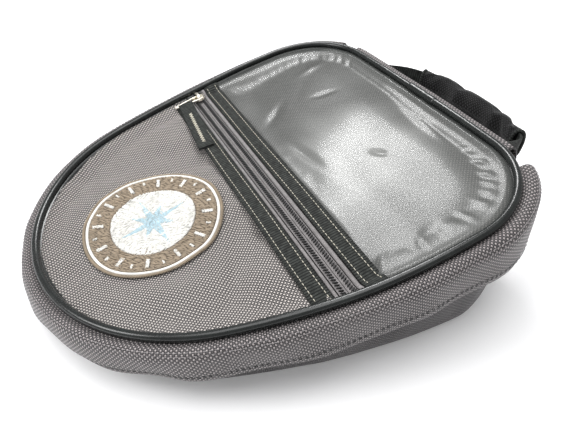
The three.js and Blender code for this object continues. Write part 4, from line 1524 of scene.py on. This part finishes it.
def main_zip_pull():
    frame_matrix = main_slider_frame()
    half_chain = 2.35
    slider("zip_slider", frame_matrix, "main_slider", "main_slider", half_chain, 2.3)
    level, width, top, foot = half_chain + 1.85, 7.8, -3.0, 9.4
    corners = [(0, top + 1.2), (0, 3), (0, foot - 1.2), (1.2, foot), (width - 1.2, foot),
               (width, foot - 1.2), (width, top + 1.2), (width - 1.2, top), (1.2, top)]
    wire("zip_ring", corners, level, 0.5, frame_matrix, "main_pull", "main_pull_ring")
    pull_tab("zip_tab", (width / 2, foot), level, frame_matrix, "main_pull", "main_pull_tab",
             length=25, half=4.0, thickness=1.2, turn=math.radians(90), droop=0.0)


# ---- carry handle ----

def handle_place(path, up):
    """Shared-frame points from (x, reach) in the handle's own plane, and a height square to it."""
    x, reach = np.asarray(path)[..., 0], np.asarray(path)[..., 1]
    drop = 2.5 * np.clip(reach / HANDLE_REACH, 0, 1) + 0.03 * np.maximum(x, 0)
    return np.stack([
        HANDLE_X + x,
        HANDLE_Y + reach * math.cos(HANDLE_DROOP) + up * math.sin(HANDLE_DROOP),
        HANDLE_Z - reach * math.sin(HANDLE_DROOP) + up * math.cos(HANDLE_DROOP) - drop,
    ], axis=-1)


def handle_path(count, cut=0.0):
    foot = [(86, -0.6), (78, -0.2), (73.2, 4.0), (72.0, 12.0), (69.0, 24.0), (60.5, 33.5), (45.0, 38.0)]
    whole = foot + [(0, HANDLE_REACH)] + [(-x, y) for x, y in reversed(foot)]
    path = catmull(whole, 400)
    path = path[np.abs(path[:, 0]) < cut] if cut else path
    return catmull(path[::3], count)


def sideways(path):
    tangent = np.gradient(path, axis=0)
    normal = np.stack([-tangent[:, 1], tangent[:, 0]], axis=1)
    return normal / np.linalg.norm(normal, axis=1, keepdims=True)


def strap():
    path = handle_path(120)
    aside = sideways(path)
    half, thick = 10.0, 1.1
    section = [(-thick, -half), (-thick, half), (thick, half), (thick, -half)]
    ripple_up = 0.3 * np.sin(np.linspace(0, 22, len(path)))
    rings = np.stack([handle_place(path + aside * a, b + ripple_up) for a, b in section], axis=1)
    uv = spread(lengths_along(path), np.array([-half, half, half + 2, -half - 2]))
    faces = capped_faces(len(path), len(section))
    piece = new_piece("handle_strap", rings.reshape(-1, 3), faces, BINDING, uv.reshape(-1, 2), False)
    face_outward(piece)
    round_edges(piece, 0.5, 2)
    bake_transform(piece)
    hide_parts("handle_webbing")


GRIP_HALF = 60.0
MEAN_GRIP_RADIUS = 10.5


def grip():
    """Padded sleeve on the strap: a crowned oval, pulled in at its ends, swollen by pressure."""
    path = handle_path(64, GRIP_HALF)
    aside = sideways(path)
    turns = np.linspace(0, 2 * math.pi, 44, endpoint=False)
    t = np.linspace(-1, 1, len(path))
    fullness = 1 - 0.16 * np.abs(t) ** 6 - 0.07 * np.cos(9 * t + 1) - 0.05 * np.sin(17 * t)
    thick = 6.4 * fullness
    tall = 12.6 * (1 - 0.08 * np.abs(t) ** 8)
    a = np.sign(np.cos(turns)) * np.abs(np.cos(turns)) ** 0.8
    b = np.sign(np.sin(turns)) * np.abs(np.sin(turns)) ** 0.8
    rings = handle_place(path[:, None, :] + aside[:, None, :] * (thick[:, None] * a[None, :])[:, :, None],
                         tall[:, None] * b[None, :])
    sides = len(turns)
    caps = [handle_place(path[k], np.array(0.0)) for k in (0, -1)]
    points = np.vstack([rings.reshape(-1, 3), caps])
    faces = grid_faces(len(path), sides, False, True)
    first, last = len(points) - 2, (len(path) - 1) * sides
    faces += [(first, (j + 1) % sides, j) for j in range(sides)]
    faces += [(first + 1, last + j, last + (j + 1) % sides) for j in range(sides)]
    length = lengths_along(path)
    uv = np.vstack([spread(length, turns * MEAN_GRIP_RADIUS).reshape(-1, 2), [[0, 0], [length[-1], 0]]])
    piece = new_piece("handle_pad", points, faces, GRIP_CLOTH, uv)
    face_outward(piece)
    pins = np.zeros(len(points))
    pins[:sides] = 1
    pins[last:] = 1
    seam = 30
    pins[np.arange(len(path)) * sides + seam] = 1
    settle(piece, pins, frames=16, shrink=-0.04, pressure=3.0, bending=1.0, reach=2.4)
    refine(piece)
    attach(piece, "handle")
    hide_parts("handle_grip")
    grip_trim(rings, seam)


def grip_trim(rings, seam):
    """The sleeve's ridged seam, and a cuff of webbing at each end."""
    count = len(rings)
    wave = 0.5 * np.sin(np.linspace(0, 46, count)) + 0.3 * np.sin(np.linspace(0, 19, count))
    still = np.zeros(count)
    seam_path = rings[:, seam] + np.stack([still, still, wave], axis=1) * 0.6
    ridge = tube_piece("handle_pad_seam", seam_path, 1.3, GRIP_CLOTH, 10)
    place(ridge, "handle", "black_webbing")
    for word, k in (("left", -1), ("right", 0)):
        cuff = tube_piece(f"handle_cuff_{word}", rings[k], 1.2, BINDING, 8, closed=True, up=(1, 0, 0))
        place(cuff, "handle", "black_webbing")


def webbing_block(name, low, high):
    """A rounded block of webbing between two corners in millimetres."""
    mesh = bmesh.new()
    bmesh.ops.create_cube(mesh, size=1.0)
    data = bpy.data.meshes.new(name)
    mesh.to_mesh(data)
    mesh.free()
    size, middle = (high - low) * MM, (high + low) / 2 * MM
    data.transform(Matrix.Translation(Vector(middle)) @ Matrix.Diagonal(Vector((*size, 1))))
    layer = data.uv_layers.new(name="cloth")
    for loop in data.loops:
        spot = data.vertices[loop.vertex_index].co
        layer.data[loop.index].uv = (spot.x / MM, spot.z / MM)
    data.materials.append(BINDING)
    block = add_object(name, data)
    round_edges(block, 0.7, 3)
    return block


BOX_STITCH_INSET = 1.6
BOX_STITCH_LEGS = [(0, 1), (1, 2), (2, 3), (3, 0), (0, 2), (1, 3)]


def anchors():
    """Webbing feet sewn to the rear wall with a boxed cross of stitches."""
    for word in ("left", "right"):
        node = f"handle_anchor_{word}"
        low, high = (np.array(corner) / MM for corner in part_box(node))
        foot = webbing_block(f"handle_foot_{word}", low, high)
        place(foot, "base", "black_webbing", node)
        left, under = low[0] + BOX_STITCH_INSET, low[2] + BOX_STITCH_INSET
        right, over = high[0] - BOX_STITCH_INSET, high[2] - BOX_STITCH_INSET
        corners = [(left, under), (right, under), (right, over), (left, over)]
        rows = []
        for leg in BOX_STITCH_LEGS:
            start, end = (np.array([corners[k][0], high[1] + 0.05, corners[k][1]]) for k in leg)
            path = start + np.linspace(0, 1, 30)[:, None] * (end - start)
            rows.append(stitch_line(path, np.tile([[0.0, 1.0, 0.0]], (30, 1)), 2.0, 0.7))
        box_stitch = threads(f"handle_foot_stitches_{word}", *join_rows(rows), 0.22, DARK_THREAD, arch=0.1)
        place(box_stitch, "base", "black_webbing")


def inner_parts():
    """The stiffener and the magnets keep their CAD shape and take their real materials."""
    finishes = {"base_board": BOARD}
    finishes.update({f"magnet_{i}": MAGNET_STEEL for i in range(1, 5)})
    for node, material in finishes.items():
        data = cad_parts[node].data
        data.materials.clear()
        data.materials.append(material)


for build in (nose_cloth, pocket_cloth, window_vinyl, foam_pad, pocket_zip, patch, rim_piping, piping_joint,
              weather_flap, lid_side, main_zip, gusset, rear_cloth, base_cloth, linings, pocket_pull,
              main_zip_pull, strap, grip, anchors, inner_parts):
    build()


# ---- studio ----

# Lamps: name, place and diameter in metres, and power in watts. They all face the same point.
LAMPS = [
    ("window_light", (-0.60, 0.27, 0.84), 0.34, 6.0),
    ("overhead_light", (0.05, -0.10, 1.40), 1.40, 17.0),
    ("front_light", (-0.20, -0.95, 0.75), 0.50, 6.0),
]
LIT_POINT = Vector((0, 0.02, 0.06))
WORLD_STRENGTH = 0.50
FLOOR_GLOW = 0.12
FLOOR_REACH = 3000.0
FLOOR_DEPTH = 0.3


def lamp(name, where, size, power):
    """A round soft lamp."""
    light = bpy.data.lights.new(name, "AREA")
    light.shape = "DISK"
    light.size = size
    light.energy = power
    holder = add_object(name, light)
    holder.location = where
    holder.rotation_euler = (LIT_POINT - Vector(where)).to_track_quat("-Z", "Y").to_euler()


def studio():
    square = ((-1, -1), (1, -1), (1, 1), (-1, 1))
    corners = [(x * FLOOR_REACH, y * FLOOR_REACH, -FLOOR_DEPTH) for x, y in square]
    glow = {"Emission Color": rgb(1.0, 1.0, 1.0), "Emission Strength": FLOOR_GLOW}
    white = Shader("studio_white", roughness=0.9, **glow).finish(rgb(0.93, 0.93, 0.94))
    new_piece("studio_floor", corners, [(0, 1, 2, 3)], white)
    world = bpy.data.worlds.new("studio")
    world.use_nodes = True
    backdrop = world.node_tree.nodes["Background"]
    backdrop.inputs[0].default_value = rgb(1.0, 1.0, 1.0)
    backdrop.inputs[1].default_value = WORLD_STRENGTH
    bpy.context.scene.world = world
    for name, where, size, power in LAMPS:
        lamp(name, where, size, power)
    bpy.context.scene.view_settings.view_transform = "Standard"


LENS = 32.275862
LOOK_AT = Vector((0.0323, 0.0218, 0.037))
CAMERA_DISTANCE = 0.389
CAMERA_AZIMUTH = math.radians(63.5)
CAMERA_ELEVATION = math.radians(39.75)


def camera():
    level = math.cos(CAMERA_ELEVATION)
    back = Vector((math.sin(CAMERA_AZIMUTH) * level, -math.cos(CAMERA_AZIMUTH) * level,
                   math.sin(CAMERA_ELEVATION)))
    lens = bpy.data.cameras.new("camera")
    lens.sensor_width = 36.0
    lens.lens = LENS
    lens.clip_start = 0.01
    holder = add_object("camera", lens)
    holder.location = LOOK_AT + back * CAMERA_DISTANCE
    holder.rotation_euler = back.to_track_quat("Z", "Y").to_euler()
    bpy.context.scene.camera = holder


studio()
camera()
